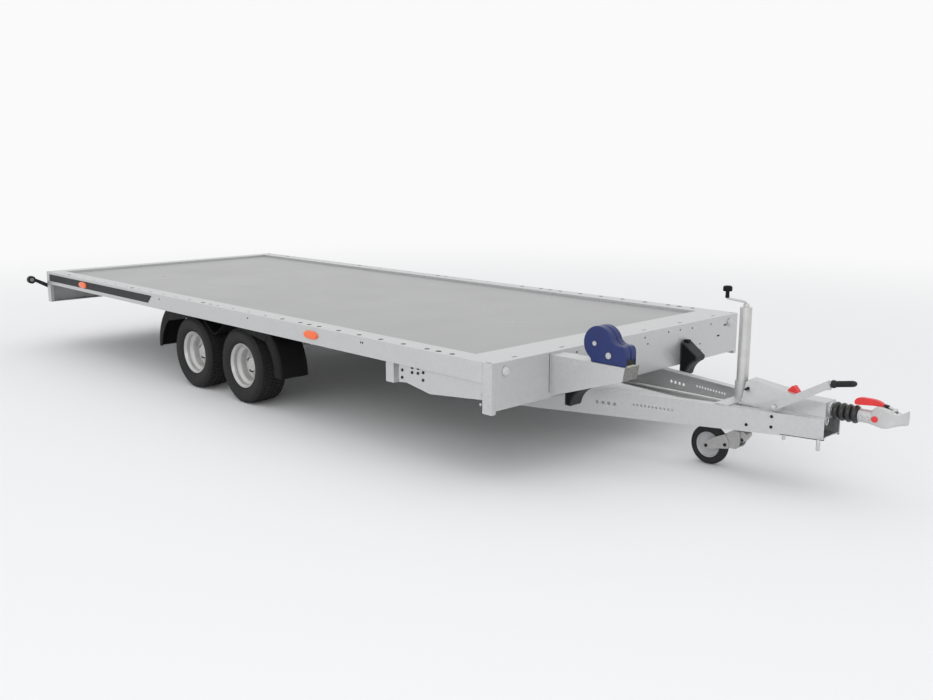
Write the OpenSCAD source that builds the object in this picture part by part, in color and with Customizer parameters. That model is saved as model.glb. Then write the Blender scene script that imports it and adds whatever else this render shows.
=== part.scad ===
// Flatbed car trailer: low deck, two close-set axles, V drawbar, overrun coupling, jockey wheel and winch.
// Millimetres. Inside the modules x = 0 is the bed's front face and +X points to the coupling,
// +Y is the trailer's left side, and z = 0 is the ground.

/* [Bed] */
// Length of the bed
bed_l = 5000; // [4600:10:5600]
// Width of the bed
bed_w = 2100; // [2040:10:2300]
// Height of the rail tops above the ground
deck_h = 585; // [575:1:620]
// Height of the side rails
rail_h = 98; // [92:1:110]
// Width of the side rails' top flange
flange_w = 115; // [95:1:140]
// Depth of the front beam's top flange
front_flange = 215; // [180:5:260]
// Depth of the rear beam's top flange
rear_flange = 100; // [80:5:140]
// Thickness of the folded steel sheet
sheet = 4; // [3:0.5:5]
// How far the deck panel lies below the rail tops
deck_recess = 14; // [10:1:20]
// Thickness of the deck panel
deck_t = 18; // [12:1:24]

/* [Lashing holes] */
// Distance between two slots along a rail
slot_pitch = 177; // [150:1:220]
// Length of a slot
slot_l = 30; // [20:1:40]
// Width of a slot
slot_w = 11; // [8:1:14]
// Diameter of the round lashing holes
lash_d = 24; // [18:1:28]
// Number of slots from one round hole to the next
lash_every = 6; // [4:1:8]
// Distance of the holes from the rail's outer face
lash_inset = 33; // [28:1:45]

/* [Corner posts] */
// Length of a front post along the side
post_l = 60; // [50:1:80]
// Length of a rear post along the side
rear_post_l = 55; // [45:1:80]
// Width of a post's front face
post_w = 28; // [24:1:36]
// Depth of a post below the rail tops
post_drop = 242; // [235:1:260]
// Depth of the stake slot in a post
stake_depth = 120; // [80:5:160]

/* [Under-frame] */
// Depth from the rail tops to the top of the drawbar
frame_drop = 225; // [215:1:232]
// Width of a cross-member
cross_w = 50; // [40:1:70]
// Largest distance between two cross-members
cross_pitch = 520; // [400:10:700]
// Height of the chassis rails that carry the axles
chassis_h = 78; // [70:1:84]
// Width of a chassis rail
chassis_w = 50; // [40:1:60]
// Distance of a chassis rail's middle from the centre line
chassis_y = 693; // [680:1:700]
// Distance from the bed's front to the deep beam that carries the drawbar
carrier_x = 734; // [700:1:800]
// Width of the deep beam
carrier_w = 60; // [50:1:70]

/* [Drawbar] */
// Distance from the bed to the drawbar's front end
tip_x = 1117; // [1000:1:1250]
// Half distance between the beams' outer faces at the front end
tip_y = 80; // [76:1:90]
// Angle of a beam to the centre line
drawbar_angle = 13; // [12:0.1:14]
// Height of a beam at its front end
beam_tip_h = 95; // [85:1:110]
// Height of a beam under the bed
beam_h = 148; // [130:1:160]
// Thickness of a beam's sheet
beam_t = 5; // [4:0.5:6]
// Width of a beam's flanges
beam_flange = 45; // [40:1:50]
// How far the beams reach back under the bed
beam_back = 930; // [850:5:1000]

/* [Wheels] */
// Diameter of the tyres
tyre_d = 468; // [450:1:476]
// Width of the tyres
tyre_w = 195; // [185:1:200]
// Diameter of the rim's flanges
rim_d = 288; // [280:1:296]
// Width of the rim over its flanges
rim_w = 160; // [150:1:166]
// Distance from the centre line to a tyre's middle
wheel_y = 920; // [914:1:926]
// Distance from the bed's front to the front axle's wheels
axle_x = 2188; // [2000:1:2300]
// Distance between the two axles' wheels
axle_gap = 586; // [560:1:640]
// Length of a swing arm along the trailer
arm_l = 122; // [110:1:135]
// Radius of an axle tube over its corners
tube_r = 40; // [34:1:42]
// Radius of the wheel spindles
spindle_r = 20; // [16:1:22]
// Radius of the brake drums
drum_r = 88; // [80:1:92]

/* [Mudguards] */
// Distance from a wheel's centre to the mudguard's end
guard_reach = 446; // [430:1:460]
// Radius of a mudguard's round ends
guard_end_r = 330; // [310:1:350]
// Distance from the centre line to a mudguard's outer edge
guard_y = 1015; // [1005:1:1025]
// Space between the tyres and the mudguard's top
guard_gap = 24; // [18:1:30]
// Height of a mudguard's ends above the ground
guard_low = 230; // [200:5:260]
// Depth of the dip in the mudguard's roof between the wheels
guard_dip = 96; // [60:1:110]
// Half width of the dip at the roof
guard_dip_w = 150; // [130:1:160]
// Width of a mudguard
guard_w = 184; // [178:1:188]
// Width of the outer band at the mudguard's ends
guard_band = 56; // [40:1:70]

/* [Overrun coupling] */
// Height of the drawtube's axis above the beams' top
tube_lift = 30; // [28:1:36]
// Radius of the drawtube
drawtube_r = 25; // [22:0.5:27]
// Length of the overrun housing
housing_l = 420; // [400:1:424]
// How far the drawtube slides in when the trailer runs up
overrun_travel = 90; // [70:1:100]
// Length of the bellows
bellows_l = 116; // [110:1:130]
// Radius of the bellows' folds
bellows_r = 41; // [39:1:44]
// Distance from the bellows' front end to the ball's centre
ball_x = 123; // [118:1:135]
// Radius of the ball socket
socket_r = 25.5; // [25.1:0.1:26]
// Distance from the ball's centre to the coupling's nose
nose_l = 87; // [80:1:95]

/* [Handbrake] */
// Distance from the drawbar's front end back to the lever's pivot
lever_back = 217; // [205:1:230]
// Length of the lever's channel
lever_l = 290; // [270:1:310]
// Angle of the lever when it is released
lever_angle = 30; // [26:1:34]
// Length of the grip
grip_l = 104; // [90:1:120]
// Angle of the grip when the lever is released
grip_angle = 10; // [6:1:16]
// Radius of the grip
grip_r = 14; // [12:0.5:16]

/* [Jockey wheel] */
// Distance from the bed to the jockey wheel's tube
jockey_x = 656; // [630:1:658]
// Radius of the outer tube
jockey_r = 28; // [25:0.5:29]
// Height of the tube's top above the ground
jockey_top = 805; // [770:1:840]
// Distance from the tube back to the wheel's axle
jockey_trail = 160; // [154:1:166]
// Diameter of the jockey wheel
jockey_d = 200; // [190:1:206]
// Width of the jockey wheel
jockey_w = 50; // [44:1:54]
// Length of the crank's arm
crank_l = 92; // [80:1:110]

/* [Winch] */
// Length of the winch console
console_l = 438; // [420:1:460]
// Width of the console
console_w = 95; // [92:1:110]
// Distance from the centre line to the console's outer face
console_y = 645; // [640:1:700]
// Radius of the winch's drum cover
winch_r = 83; // [76:1:86]
// Width of the winch
winch_w = 85; // [78:1:88]
// Distance from the bed to the drum's axis
winch_x = 277; // [265:1:285]

/* [Chocks] */
// How far a chock stands out from the front beam
chock_l = 112; // [95:1:125]
// Height of a chock
chock_h = 182; // [165:1:190]
// Depth of a chock's top below the rail tops
chock_drop = 100; // [90:1:110]
// Thickness of a wheel chock
chock_w = 80; // [70:1:90]
// Distance from the centre line to a chock's middle
chock_y = 495; // [480:1:500]

/* [Lamps] */
// Distance from the bed's front to the front side marker lamp
marker_front = 1387; // [1200:1:1600]
// Distance from the bed's rear end to the rear side marker lamp
marker_rear = 683; // [500:1:900]
// Depth of the side marker lamps' middle below the rail tops
marker_drop = 47; // [42:1:55]
// Length of a side marker lamp
marker_l = 122; // [100:1:140]
// Height of a side marker lamp
marker_h = 40; // [34:1:48]
// Thickness of a side marker lamp
marker_t = 12; // [8:1:18]
// How far a rear marker arm reaches past the bed's side
arm_reach = 145; // [120:1:170]
// Radius of the marker lamps on the arms
arm_lamp_r = 30; // [26:1:34]
// Thickness of the tail lamps
tail_t = 45; // [35:1:60]
// Width of a tail lamp
tail_w = 240; // [200:1:260]
// Height of a tail lamp
tail_h = 130; // [110:1:140]
// Distance from the bed's side to a tail lamp
tail_inset = 120; // [110:1:140]
// Width of the number plate
plate_w = 520; // [480:1:540]
// Height of the number plate
plate_h = 120; // [105:1:130]

/* [Hidden] */
$fn = 48;
// Clearance of a turning shaft in its hole
run_gap = 0.1;
// Clearance between a sliding piece and its guide
slide_gap = 0.3;
// Clearance between a moving piece and a fixed one beside it
clear = 6;

// Heights
rail_bot = deck_h - rail_h;
panel_top = deck_h - deck_recess;
panel_bot = panel_top - deck_t;
frame_bot = deck_h - frame_drop;
post_bot = deck_h - post_drop;

// Half widths
half_w = bed_w / 2;
flange_y = half_w - flange_w;
web_y = half_w - sheet;
post_y = half_w - post_w;

// Width of the front and rear beams' lower flange
foot_w = 50;

// Corner posts
stake_end = 12;
stake_side = 7;

// Wheels
wheel_z = tyre_d / 2;
axle_xs = [-axle_x, -axle_x - axle_gap];
tube_flat = tube_r * cos(30);
saddle_t = 8;
saddle_l = 120;
tube_z = rail_bot - chassis_h - saddle_t - tube_flat;
arm_gap = 37.5;
arm_out = wheel_y - tyre_w / 2 - arm_gap;
arm_t = 40;
back_plate = 12;
disc_w = -24;
disc_t = 8;
hub_r = 42;
hub_l = 34;
cap_t = 6;
rim_wall = 6;
bead_drop = 17;
well_drop = 22;
rim_lip = rim_d / 2;
rim_bead = rim_lip - bead_drop;
rim_well = rim_bead - well_drop;
tyre_side_r = 60;
tyre_side_c = tyre_d / 2 - 54;
tyre_shoulder = tyre_w / 2 - 32;

// Mudguards
guard_t = 4;
guard_top = tyre_d + guard_gap + guard_t;
guard_x0 = axle_xs[1] - guard_reach;
guard_x1 = axle_xs[0] + guard_reach;

// Overrun coupling
tow_z = frame_bot + tube_lift;
housing_x = tip_x - housing_l;
base_t = 6;
guide_r = drawtube_r + 10;
cover_z = tow_z + guide_r + 3;
hump_z = tow_z + 80;
cover_base = tip_y - 6;
cover_top = drawtube_r + 5;
bore_end = housing_x + 25;
tube_end = bore_end + overrun_travel + 10;
bellows_x = tip_x + 4;
bellows_fold = 11;
sleeve_r = drawtube_r + 5;
sleeve_x = bellows_x + bellows_l + 2;
sleeve_l = 60;
ball_cx = bellows_x + bellows_l + ball_x;
nose_x = ball_cx + nose_l;
dome_r = socket_r + 7;
dome_low = tow_z - 40;
socket_top = tow_z + 10;
grab_x = ball_cx + 28;
grab_z = tow_z + 46;
grab_r = 9;
grab_w = 22;
grab_pin_r = 4;
grab_floor = tow_z + 28;
head_back = -66;
// The coupling head's outline from the side, as (x, z) from the ball's centre
HEAD_SIDE = [[head_back, -27], [head_back, 24], [-46, 50], [-31, 60], [-9, 57], [10, 56], [40, 54], [46, 28],
    [60, 34], [76, 54], [nose_l, 54], [nose_l, -8], [49, -18], [21, -29], [-1, -37], [-20, -33], [-30, -27]];
// Half of its outline from above, as (x, y)
HEAD_PLAN = [[head_back, 26], [-46, 28], [-10, dome_r], [12, dome_r], [44, 22], [58, 15], [nose_l, 15]];

// Handbrake
lever_x = tip_x - lever_back;
lever_y = -beam_y(lever_x) + 10;
lever_w = 26;
lever_h = 34;
lever_wall = 4;
lever_z = frame_bot + base_t + lever_h / 2 + clear;
lever_pin_r = 7;
lever_gap = 5;
ear_t = 8;
ear_y = lever_y + lever_w / 2 + lever_gap;
tang_r = 7;
tang_l = 40;
grip_start = 14;
rod_y0 = 62;
brake_rod_r = 6;
brake_drop = 45;

// Jockey wheel
jockey_z = jockey_d / 2;
bridge_t = 6;
bridge_l = 72;
collar_r = jockey_r + 6;
collar_h = 90;
leg_r = jockey_r - 5;
leg_l = 300;
fork_top = jockey_d + 5;
fork_plate = 8;
leg_bot = fork_top + clear;
tube_bot = leg_bot + 15;
swivel_r = 10;
swivel_l = 59;
fork_t = 5;
fork_y = jockey_w / 2 + 7;
fork_eye = 20;
jockey_pin_r = 8;
jockey_wall = 30;
crank_z = jockey_top + 18;
crank_r = 8;
crank_turn = 225;
crank_in = 38;
crank_up = 18;
crank_arm_r = 6;
knob_r = 22;
knob_h = 26;
knob_stem_r = 9;
knob_top = 84;

// Winch
winch_z = deck_h + 77;
console_top = deck_h - 12;
console_end_h = 66;
console_back_h = 205;
console_lean = 12;
winch_nose = 40;
winch_step = 3;
winch_fillet = 30;
winch_mouth = 50;
winch_wall = 10;

// Chocks
chock_flat = 24;
chock_lip = 16;
chock_foot = 36;
chock_arc_r = 112;

// Lamps and number plate
lamp_r = 24;
lamp_t = 16;
lamp_inset = 90;
lamp_drop = 45;
tail_drop = 70;
plate_drop = 85;
plate_t = 12;
arm_base_w = 50;
arm_base_h = 90;
arm_base_t = 10;
arm_base_y = half_w - 45;
arm_base_z = deck_h - 135;
arm_root_r = 16;
arm_neck_r = 12;
arm_head_t = 32;
arm_tip_y = half_w + arm_reach - arm_lamp_r;
arm_tip_z = deck_h - 60;
lens_t = 6;
lens_rim = 5;

// Overall reach, so that the origin lies under the middle of the whole trailer
rear_x = -bed_l - tail_t;
bed_front_x = -(nose_x + rear_x) / 2;

// Distance from the centre line to a drawbar beam's outer face
function beam_y(x) = tip_y + (tip_x - x) * tan(drawbar_angle);

// Plates that tie the front posts to the deep beam
gusset_t = 5;

// Cross-members: places along the bed, evenly spaced, shorter beside the wheels
cross_first = -front_flange;
cross_last = -bed_l + rear_flange;
cross_steps = ceil((cross_first - cross_last) / cross_pitch);
cross_xs = [for (i = [0 : cross_steps]) cross_first + (cross_last - cross_first) * i / cross_steps];
wheel_side_y = guard_y - guard_w - 14;
function cross_reach(x) = x > -carrier_x - carrier_w ? web_y - 2 * gusset_t
    : x < guard_x1 + cross_w && x > guard_x0 - cross_w ? wheel_side_y : web_y;

// Lashing holes: slots in a row along a side rail, and a round hole half-way between some of them
slot_first = 294;
slot_last = 190;
slot_steps = floor((bed_l - slot_first - slot_last) / slot_pitch);
slot_xs = [for (i = [0 : slot_steps]) -slot_first - i * slot_pitch];
lash_xs = [for (i = [0 : lash_every : slot_steps - 1]) -slot_first - (i + 0.5) * slot_pitch];

// Slots in the front beam's flange, evenly spaced
front_slots = 6;
front_slot_y = half_w - 200;
front_slot_x = -45;

// Rows of holes in a drawbar beam: how many, first distance from the front end, pitch,
// depth below the top, radius
COUNT = 0;
FIRST = 1;
PITCH = 2;
DEPTH = 3;
RADIUS = 4;
BEAM_HOLES = [[11, 709, 20, 57, 6], [4, 1010, 32, 69, 9]];

// The four road wheels: name, axle and side
NAME = 0;
AXLE = 1;
SIDE = 2;
WHEELS = [["fl", 0, 1], ["fr", 0, -1], ["rl", 1, 1], ["rr", 1, -1]];

// Shared shapes

module placed() translate([bed_front_x, 0, 0]) children();

module both_sides() {
    children();
    mirror([0, 1, 0]) children();
}

module on_side(side) {
    if (side > 0) children();
    else mirror([0, 1, 0]) children();
}

module block(low, high) translate(low) cube(high - low);

// An outline in (x, z) given thickness from y0 to y1
module slab(y0, y1) translate([0, y1, 0]) rotate([90, 0, 0]) linear_extrude(y1 - y0) children();

module rod_x(x0, x1, y, z, r) translate([x0, y, z]) rotate([0, 90, 0]) cylinder(r = r, h = x1 - x0);

module rod_y(x, y0, y1, z, r) translate([x, y0, z]) rotate([-90, 0, 0]) cylinder(r = r, h = y1 - y0);

module rod_z(x, y, z0, z1, r) translate([x, y, z0]) cylinder(r = r, h = z1 - z0);

// A slot of round ends through a flat top, its length along X
module slot_z(x, y, z0, z1, length, width) {
    run = (length - width) / 2;
    rod_z(x - run, y, z0, z1, width / 2);
    rod_z(x + run, y, z0, z1, width / 2);
    block([x - run, y - width / 2, z0], [x + run, y + width / 2, z1]);
}

// Bed

module lash_holes() {
    y = half_w - lash_inset;
    low = deck_h - sheet - 1;
    for (x = slot_xs) slot_z(x, y, low, deck_h + 1, slot_l, slot_w);
    for (x = lash_xs) rod_z(x, y, low, deck_h + 1, lash_d / 2);
}

module side_rail(side) color("lightgray") on_side(side) {
    x0 = -bed_l + rear_post_l;
    x1 = -post_l;
    difference() {
        union() {
            block([x0, web_y, rail_bot], [x1, half_w, deck_h]);
            block([x0, flange_y, deck_h - sheet], [x1, half_w, deck_h]);
            block([-bed_l + rear_flange, flange_y, panel_bot], [-front_flange, flange_y + sheet, deck_h]);
        }
        lash_holes();
    }
}

module front_beam() color("lightgray") {
    difference() {
        union() {
            block([-sheet, -post_y, frame_bot], [0, post_y, deck_h]);
            block([-post_l, -post_y, deck_h - sheet], [0, post_y, deck_h]);
            block([-front_flange, -flange_y, deck_h - sheet], [0, flange_y, deck_h]);
            block([-front_flange, -flange_y, panel_bot], [-front_flange + sheet, flange_y, deck_h]);
            block([-foot_w, -post_y, frame_bot], [0, post_y, frame_bot + sheet]);
        }
        for (i = [0 : front_slots - 1])
            translate([front_slot_x, front_slot_y * (2 * i / (front_slots - 1) - 1), 0]) rotate([0, 0, 90])
                slot_z(0, 0, deck_h - sheet - 1, deck_h + 1, slot_l + 10, slot_w);
    }
}

module rear_beam() color("lightgray") {
    x = -bed_l;
    block([x, -post_y, post_bot], [x + sheet, post_y, deck_h]);
    block([x, -post_y, deck_h - sheet], [x + rear_post_l, post_y, deck_h]);
    block([x, -flange_y, deck_h - sheet], [x + rear_flange, flange_y, deck_h]);
    block([x + rear_flange - sheet, -flange_y, panel_bot], [x + rear_flange, flange_y, deck_h]);
    block([x, -post_y, post_bot], [x + foot_w, post_y, post_bot + sheet]);
}

module corner_post(x0, length) difference() {
    block([x0, post_y, post_bot], [x0 + length, half_w, deck_h]);
    block([x0 + stake_end, post_y + stake_side, deck_h - stake_depth],
        [x0 + length - stake_end, half_w - stake_side, deck_h + 1]);
}

module corner_posts() color("silver") both_sides() {
    corner_post(-post_l, post_l);
    corner_post(-bed_l, rear_post_l);
}

module deck_panel() color("gray")
    block([-bed_l + rear_flange, -flange_y, panel_bot], [-front_flange, flange_y, panel_top]);

// A folded channel across the bed from x back to x - width, open to the rear
module channel_y(x, width, reach, z0, z1) {
    block([x - sheet, -reach, z0], [x, reach, z1]);
    for (z = [z0, z1 - sheet]) block([x - width, -reach, z], [x, reach, z + sheet]);
}

module cross_members() color("silver") for (x = cross_xs)
    channel_y(x + cross_w / 2, cross_w, cross_reach(x), rail_bot, panel_bot);

module drawbar_carrier() color("silver")
    channel_y(-carrier_x + carrier_w / 2, carrier_w, web_y - 2 * gusset_t - 2, frame_bot, rail_bot);

// Plates that tie the front posts to the deep beam, against the inside of the rails
module corner_gussets() color("silver") both_sides() {
    top = panel_bot - 12;
    kink = -carrier_x + 305;
    plate_end = kink - 166;
    tail = -carrier_x + carrier_w / 2;
    slab(web_y - gusset_t, web_y)
        polygon([[-post_l, top], [-post_l, post_bot + 62], [kink, frame_bot + 9], [plate_end, frame_bot + 37],
            [plate_end, top]]);
    slab(web_y - 2 * gusset_t, web_y - gusset_t)
        polygon([[plate_end + 36, rail_bot], [plate_end + 36, frame_bot + 42], [tail, frame_bot + 28],
            [tail, rail_bot]]);
}

module chassis_rails() color("silver") both_sides() {
    x0 = -bed_l + rear_flange;
    x1 = -carrier_x - carrier_w / 2;
    low = rail_bot - chassis_h;
    inner = chassis_y - chassis_w / 2;
    outer = chassis_y + chassis_w / 2;
    block([x0, outer - sheet, low], [x1, outer, rail_bot]);
    for (z = [low, rail_bot - sheet]) block([x0, inner, z], [x1, outer, z + sheet]);
}

// Drawbar

// Draws children in a beam's own frame: x runs back along the beam, y = 0 is its outer face
module along_beam() translate([tip_x, tip_y, 0]) rotate([0, 0, 180 - drawbar_angle]) mirror([0, 1, 0])
    children();

module drawbar_beam() color("lightgray") {
    length = (tip_x + beam_back) / cos(drawbar_angle);
    taper = (tip_x + front_flange + 85) / cos(drawbar_angle);
    low = frame_bot - beam_h;
    tip_low = frame_bot - beam_tip_h;
    along_beam() {
        difference() {
            slab(-beam_t, 0)
                polygon([[0, tip_low], [taper, low], [length, low], [length, frame_bot], [0, frame_bot]]);
            for (row = BEAM_HOLES, i = [0 : row[COUNT] - 1])
                rod_y(row[FIRST] + i * row[PITCH], -beam_t - 1, 1, frame_bot - row[DEPTH], row[RADIUS]);
        }
        block([0, -beam_flange, frame_bot - beam_t], [length, 0, frame_bot]);
        slab(-beam_flange, 0) polygon([[0, tip_low], [taper, low], [length, low], [length, low + beam_t],
            [taper, low + beam_t], [0, tip_low + beam_t]]);
    }
}

// Base plate between the beams, a sloping cover over the drawtube's guide, and the handbrake's ear and pin
module overrun_housing() color("silver") {
    wide = -ear_y;
    ear_back = lever_x - 105;
    ear_front = lever_x + 22;
    pin_end = lever_y - lever_w / 2 - 8;
    difference() {
        union() {
            translate([0, 0, frame_bot]) linear_extrude(base_t)
                polygon([[housing_x, -wide], [ear_front, -wide], [tip_x, -tip_y], [tip_x, tip_y],
                    [ear_front, wide], [housing_x, wide]]);
            rod_x(bore_end, tip_x, 0, tow_z, guide_r);
            intersection() {
                slab(-cover_base, cover_base) polygon([[housing_x, frame_bot], [housing_x, hump_z - 16],
                    [housing_x + 16, hump_z], [housing_x + 55, hump_z - 4], [tip_x - 110, cover_z],
                    [tip_x - 14, cover_z], [tip_x, frame_bot]]);
                translate([housing_x, 0, 0]) rotate([90, 0, 90]) linear_extrude(housing_l)
                    polygon([[-cover_base, frame_bot], [cover_base, frame_bot], [cover_top, hump_z],
                        [-cover_top, hump_z]]);
            }
            slab(ear_y, ear_y + ear_t) polygon([[ear_back, frame_bot], [ear_back, frame_bot + 18],
                [lever_x - 40, lever_z + 14], [lever_x, lever_z + 20], [ear_front, lever_z + 14],
                [ear_front, frame_bot]]);
            rod_y(lever_x, pin_end, ear_y + ear_t, lever_z, lever_pin_r);
            rod_y(lever_x, pin_end, pin_end + 5, lever_z, lever_pin_r + 5);
        }
        rod_x(bore_end, tip_x + 1, 0, tow_z, drawtube_r + slide_gap);
    }
}

module bellows() color("black") {
    folds = 4;
    pitch = bellows_l / folds;
    inner = drawtube_r + 3;
    valley = bellows_r - bellows_fold;
    translate([bellows_x, 0, tow_z]) rotate([0, 90, 0]) rotate_extrude()
        polygon(concat(
            [[inner, bellows_l], [inner, 0]],
            [for (i = [0 : folds - 1], step = [[0, valley], [0.5, bellows_r]])
                [step[1], (i + step[0]) * pitch]],
            [[valley, bellows_l]]));
    difference() {
        rod_x(tip_x, bellows_x, 0, tow_z, valley);
        rod_x(tip_x - 1, bellows_x + 1, 0, tow_z, inner);
    }
}

module drawtube() color("dimgray") rod_x(tube_end, sleeve_x + sleeve_l, 0, tow_z, drawtube_r);

// A cast head: its outline from the side crossed with its outline from above, round a socket open below
module coupling_head() color("gainsboro") {
    sleeve_end = sleeve_x + sleeve_l;
    difference() {
        union() {
            rod_x(sleeve_x, sleeve_end, 0, tow_z, sleeve_r);
            rod_z(ball_cx, 0, dome_low, grab_floor, dome_r);
            intersection() {
                slab(-dome_r, dome_r) translate([ball_cx, tow_z]) polygon(HEAD_SIDE);
                linear_extrude(deck_h) translate([ball_cx, 0]) for (m = [0, 1]) mirror([0, m])
                    polygon(concat(HEAD_PLAN, [[nose_l, 0], [HEAD_PLAN[0][0], 0]]));
            }
            rod_y(grab_x, -grab_w / 2 - 9, grab_w / 2 + 9, grab_z, grab_pin_r);
        }
        rod_x(sleeve_x - 1, sleeve_end, 0, tow_z, drawtube_r);
        rod_z(ball_cx, 0, dome_low - 1, socket_top, socket_r);
        difference() {
            block([ball_cx + head_back - 4, -grab_w / 2 - clear, grab_floor],
                [grab_x + 18, grab_w / 2 + clear, hump_z]);
            rod_y(grab_x, -grab_w, grab_w, grab_z, grab_pin_r);
        }
    }
}

module coupling_handle() color("crimson") difference() {
    union() {
        rod_y(grab_x, -grab_w / 2, grab_w / 2, grab_z, grab_r);
        slab(-grab_w / 2, grab_w / 2) polygon([[grab_x - 3, grab_z - grab_r], [grab_x + 6, grab_z + 6],
            [ball_cx - 27, tow_z + 73], [ball_cx - 50, tow_z + 81], [ball_cx - 119, tow_z + 81],
            [ball_cx - 140, tow_z + 73], [ball_cx - 146, tow_z + 58], [ball_cx - 140, tow_z + 50],
            [ball_cx - 97, tow_z + 54], [ball_cx - 40, tow_z + 58]]);
    }
    rod_y(grab_x, -grab_w, grab_w, grab_z, grab_pin_r + run_gap);
}

module lever_frame() translate([lever_x, lever_y, lever_z]) rotate([0, -lever_angle, 0]) children();

// Draws children along the grip, from the lever's upper end
module grip_frame() lever_frame() translate([lever_l, 0, 0])
    rotate([0, lever_angle - grip_angle, 0]) children();

module handbrake_lever() color("silver") {
    half = lever_h / 2;
    side = lever_w / 2;
    inside = side - lever_wall;
    lever_frame() {
        difference() {
            union() {
                rod_y(0, -side, side, 0, half);
                block([0, -side, -half], [lever_l, side, half]);
            }
            block([half, -inside, -half - 1], [lever_l + 1, inside, half - lever_wall]);
            rod_y(0, -lever_w, lever_w, 0, lever_pin_r + run_gap);
        }
        block([lever_l - tang_l, -inside, -half + 4], [lever_l, inside, half - lever_wall]);
    }
    grip_frame() rod_x(-10, grip_start + tang_l, 0, 0, tang_r);
}

module handbrake_grip() color("black") grip_frame() difference() {
    union() {
        rod_x(grip_start, grip_start + grip_l - grip_r, 0, 0, grip_r);
        translate([grip_start + grip_l - grip_r, 0, 0]) sphere(r = grip_r);
    }
    rod_x(grip_start - 1, grip_start + tang_l + slide_gap, 0, 0, tang_r + slide_gap);
}

module brake_rod() color("dimgray") {
    z = frame_bot - brake_drop;
    back = axle_xs[0] + arm_l;
    front = housing_x + 30;
    rod_x(back, front, rod_y0, z, brake_rod_r);
    block([front - 20, rod_y0 - 10, z - 10], [front, rod_y0 + 10, frame_bot]);
    block([back - 12, rod_y0 - 12, z - 10], [back + 12, rod_y0 + 12, tube_z - tube_flat]);
}

// Jockey wheel

module jockey_clamp() color("silver") {
    half = beam_y(jockey_x) - 8;
    screw_y = collar_r + 20;
    screw_z = frame_bot + 55;
    bar_y = screw_y + 50;
    difference() {
        union() {
            block([jockey_x - bridge_l / 2, -half, frame_bot],
                [jockey_x + bridge_l / 2, half, frame_bot + bridge_t]);
            rod_z(jockey_x, 0, frame_bot, frame_bot + collar_h, collar_r);
            block([jockey_x - 12, 0, screw_z - 25], [jockey_x + 12, screw_y, screw_z + 25]);
        }
        rod_z(jockey_x, 0, frame_bot - 1, frame_bot + collar_h + 1, jockey_r + slide_gap);
    }
    rod_y(jockey_x, screw_y, bar_y, screw_z, 7);
    rod_x(jockey_x - 42, jockey_x + 42, bar_y, screw_z, 8);
}

module jockey_tube() color("silver") difference() {
    union() {
        rod_z(jockey_x, 0, tube_bot, jockey_top, jockey_r);
        rod_z(jockey_x, 0, jockey_top, crank_z - 2, crank_r + 6);
    }
    rod_z(jockey_x, 0, tube_bot - 1, leg_bot + leg_l + 10, leg_r + slide_gap);
    rod_z(jockey_x, 0, crank_z - crank_in - 2, crank_z, crank_r + run_gap);
}

module jockey_leg() color("gainsboro") difference() {
    rod_z(jockey_x, 0, leg_bot, leg_bot + leg_l, leg_r);
    rod_z(jockey_x, 0, leg_bot - 1, leg_bot + swivel_l + 1, swivel_r + run_gap);
}

module jockey_fork() color("silver") {
    axle_at = jockey_x - jockey_trail;
    front = jockey_x + leg_r + 5;
    back = jockey_x - leg_r - 9;
    rod_z(jockey_x, 0, fork_top - fork_plate, leg_bot + swivel_l, swivel_r);
    block([back, -fork_y, fork_top - fork_plate], [front, fork_y, fork_top]);
    both_sides() slab(fork_y - fork_t, fork_y) {
        polygon([[front, fork_top], [back, fork_top], [axle_at, jockey_z + fork_eye],
            [axle_at, jockey_z - fork_eye], [front, fork_top - 50]]);
        translate([axle_at, jockey_z]) circle(r = fork_eye);
    }
    rod_y(axle_at, -fork_y - 6, fork_y + 6, jockey_z, jockey_pin_r);
}

module jockey_disc() color("lightgray") difference() {
    rod_y(jockey_x - jockey_trail, -jockey_w / 2 + 3, jockey_w / 2 - 3, jockey_z, jockey_z - jockey_wall);
    rod_y(jockey_x - jockey_trail, -jockey_w, jockey_w, jockey_z, jockey_pin_r + run_gap);
}

module jockey_tyre() color("black") translate([jockey_x - jockey_trail, 0, jockey_z]) rotate([90, 0, 0])
    rotate_extrude() intersection() {
        union() {
            translate([jockey_z - jockey_wall / 2, 0]) circle(r = jockey_w / 2);
            translate([jockey_z - jockey_wall, -jockey_w / 2]) square([jockey_wall / 2, jockey_w]);
        }
        translate([jockey_z - jockey_wall, -jockey_w / 2]) square([jockey_wall, jockey_w]);
    }

module crank_frame() translate([jockey_x, 0, crank_z]) rotate([0, 0, crank_turn]) children();

module jockey_crank() color("dimgray") crank_frame() {
    over = crank_arm_r + 2;
    rod_z(0, 0, -crank_in, crank_up + over, crank_r);
    block([0, -crank_arm_r, crank_up - crank_arm_r], [crank_l, crank_arm_r, crank_up + crank_arm_r]);
    rod_z(crank_l, 0, crank_up - over, crank_up + over, over);
}

module jockey_knob() color("black") crank_frame() {
    low = crank_up + crank_arm_r + 2;
    rod_z(crank_l, 0, low, knob_top - knob_h, knob_stem_r);
    rod_z(crank_l, 0, knob_top - knob_h, knob_top, knob_r);
}

// Running gear

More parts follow.
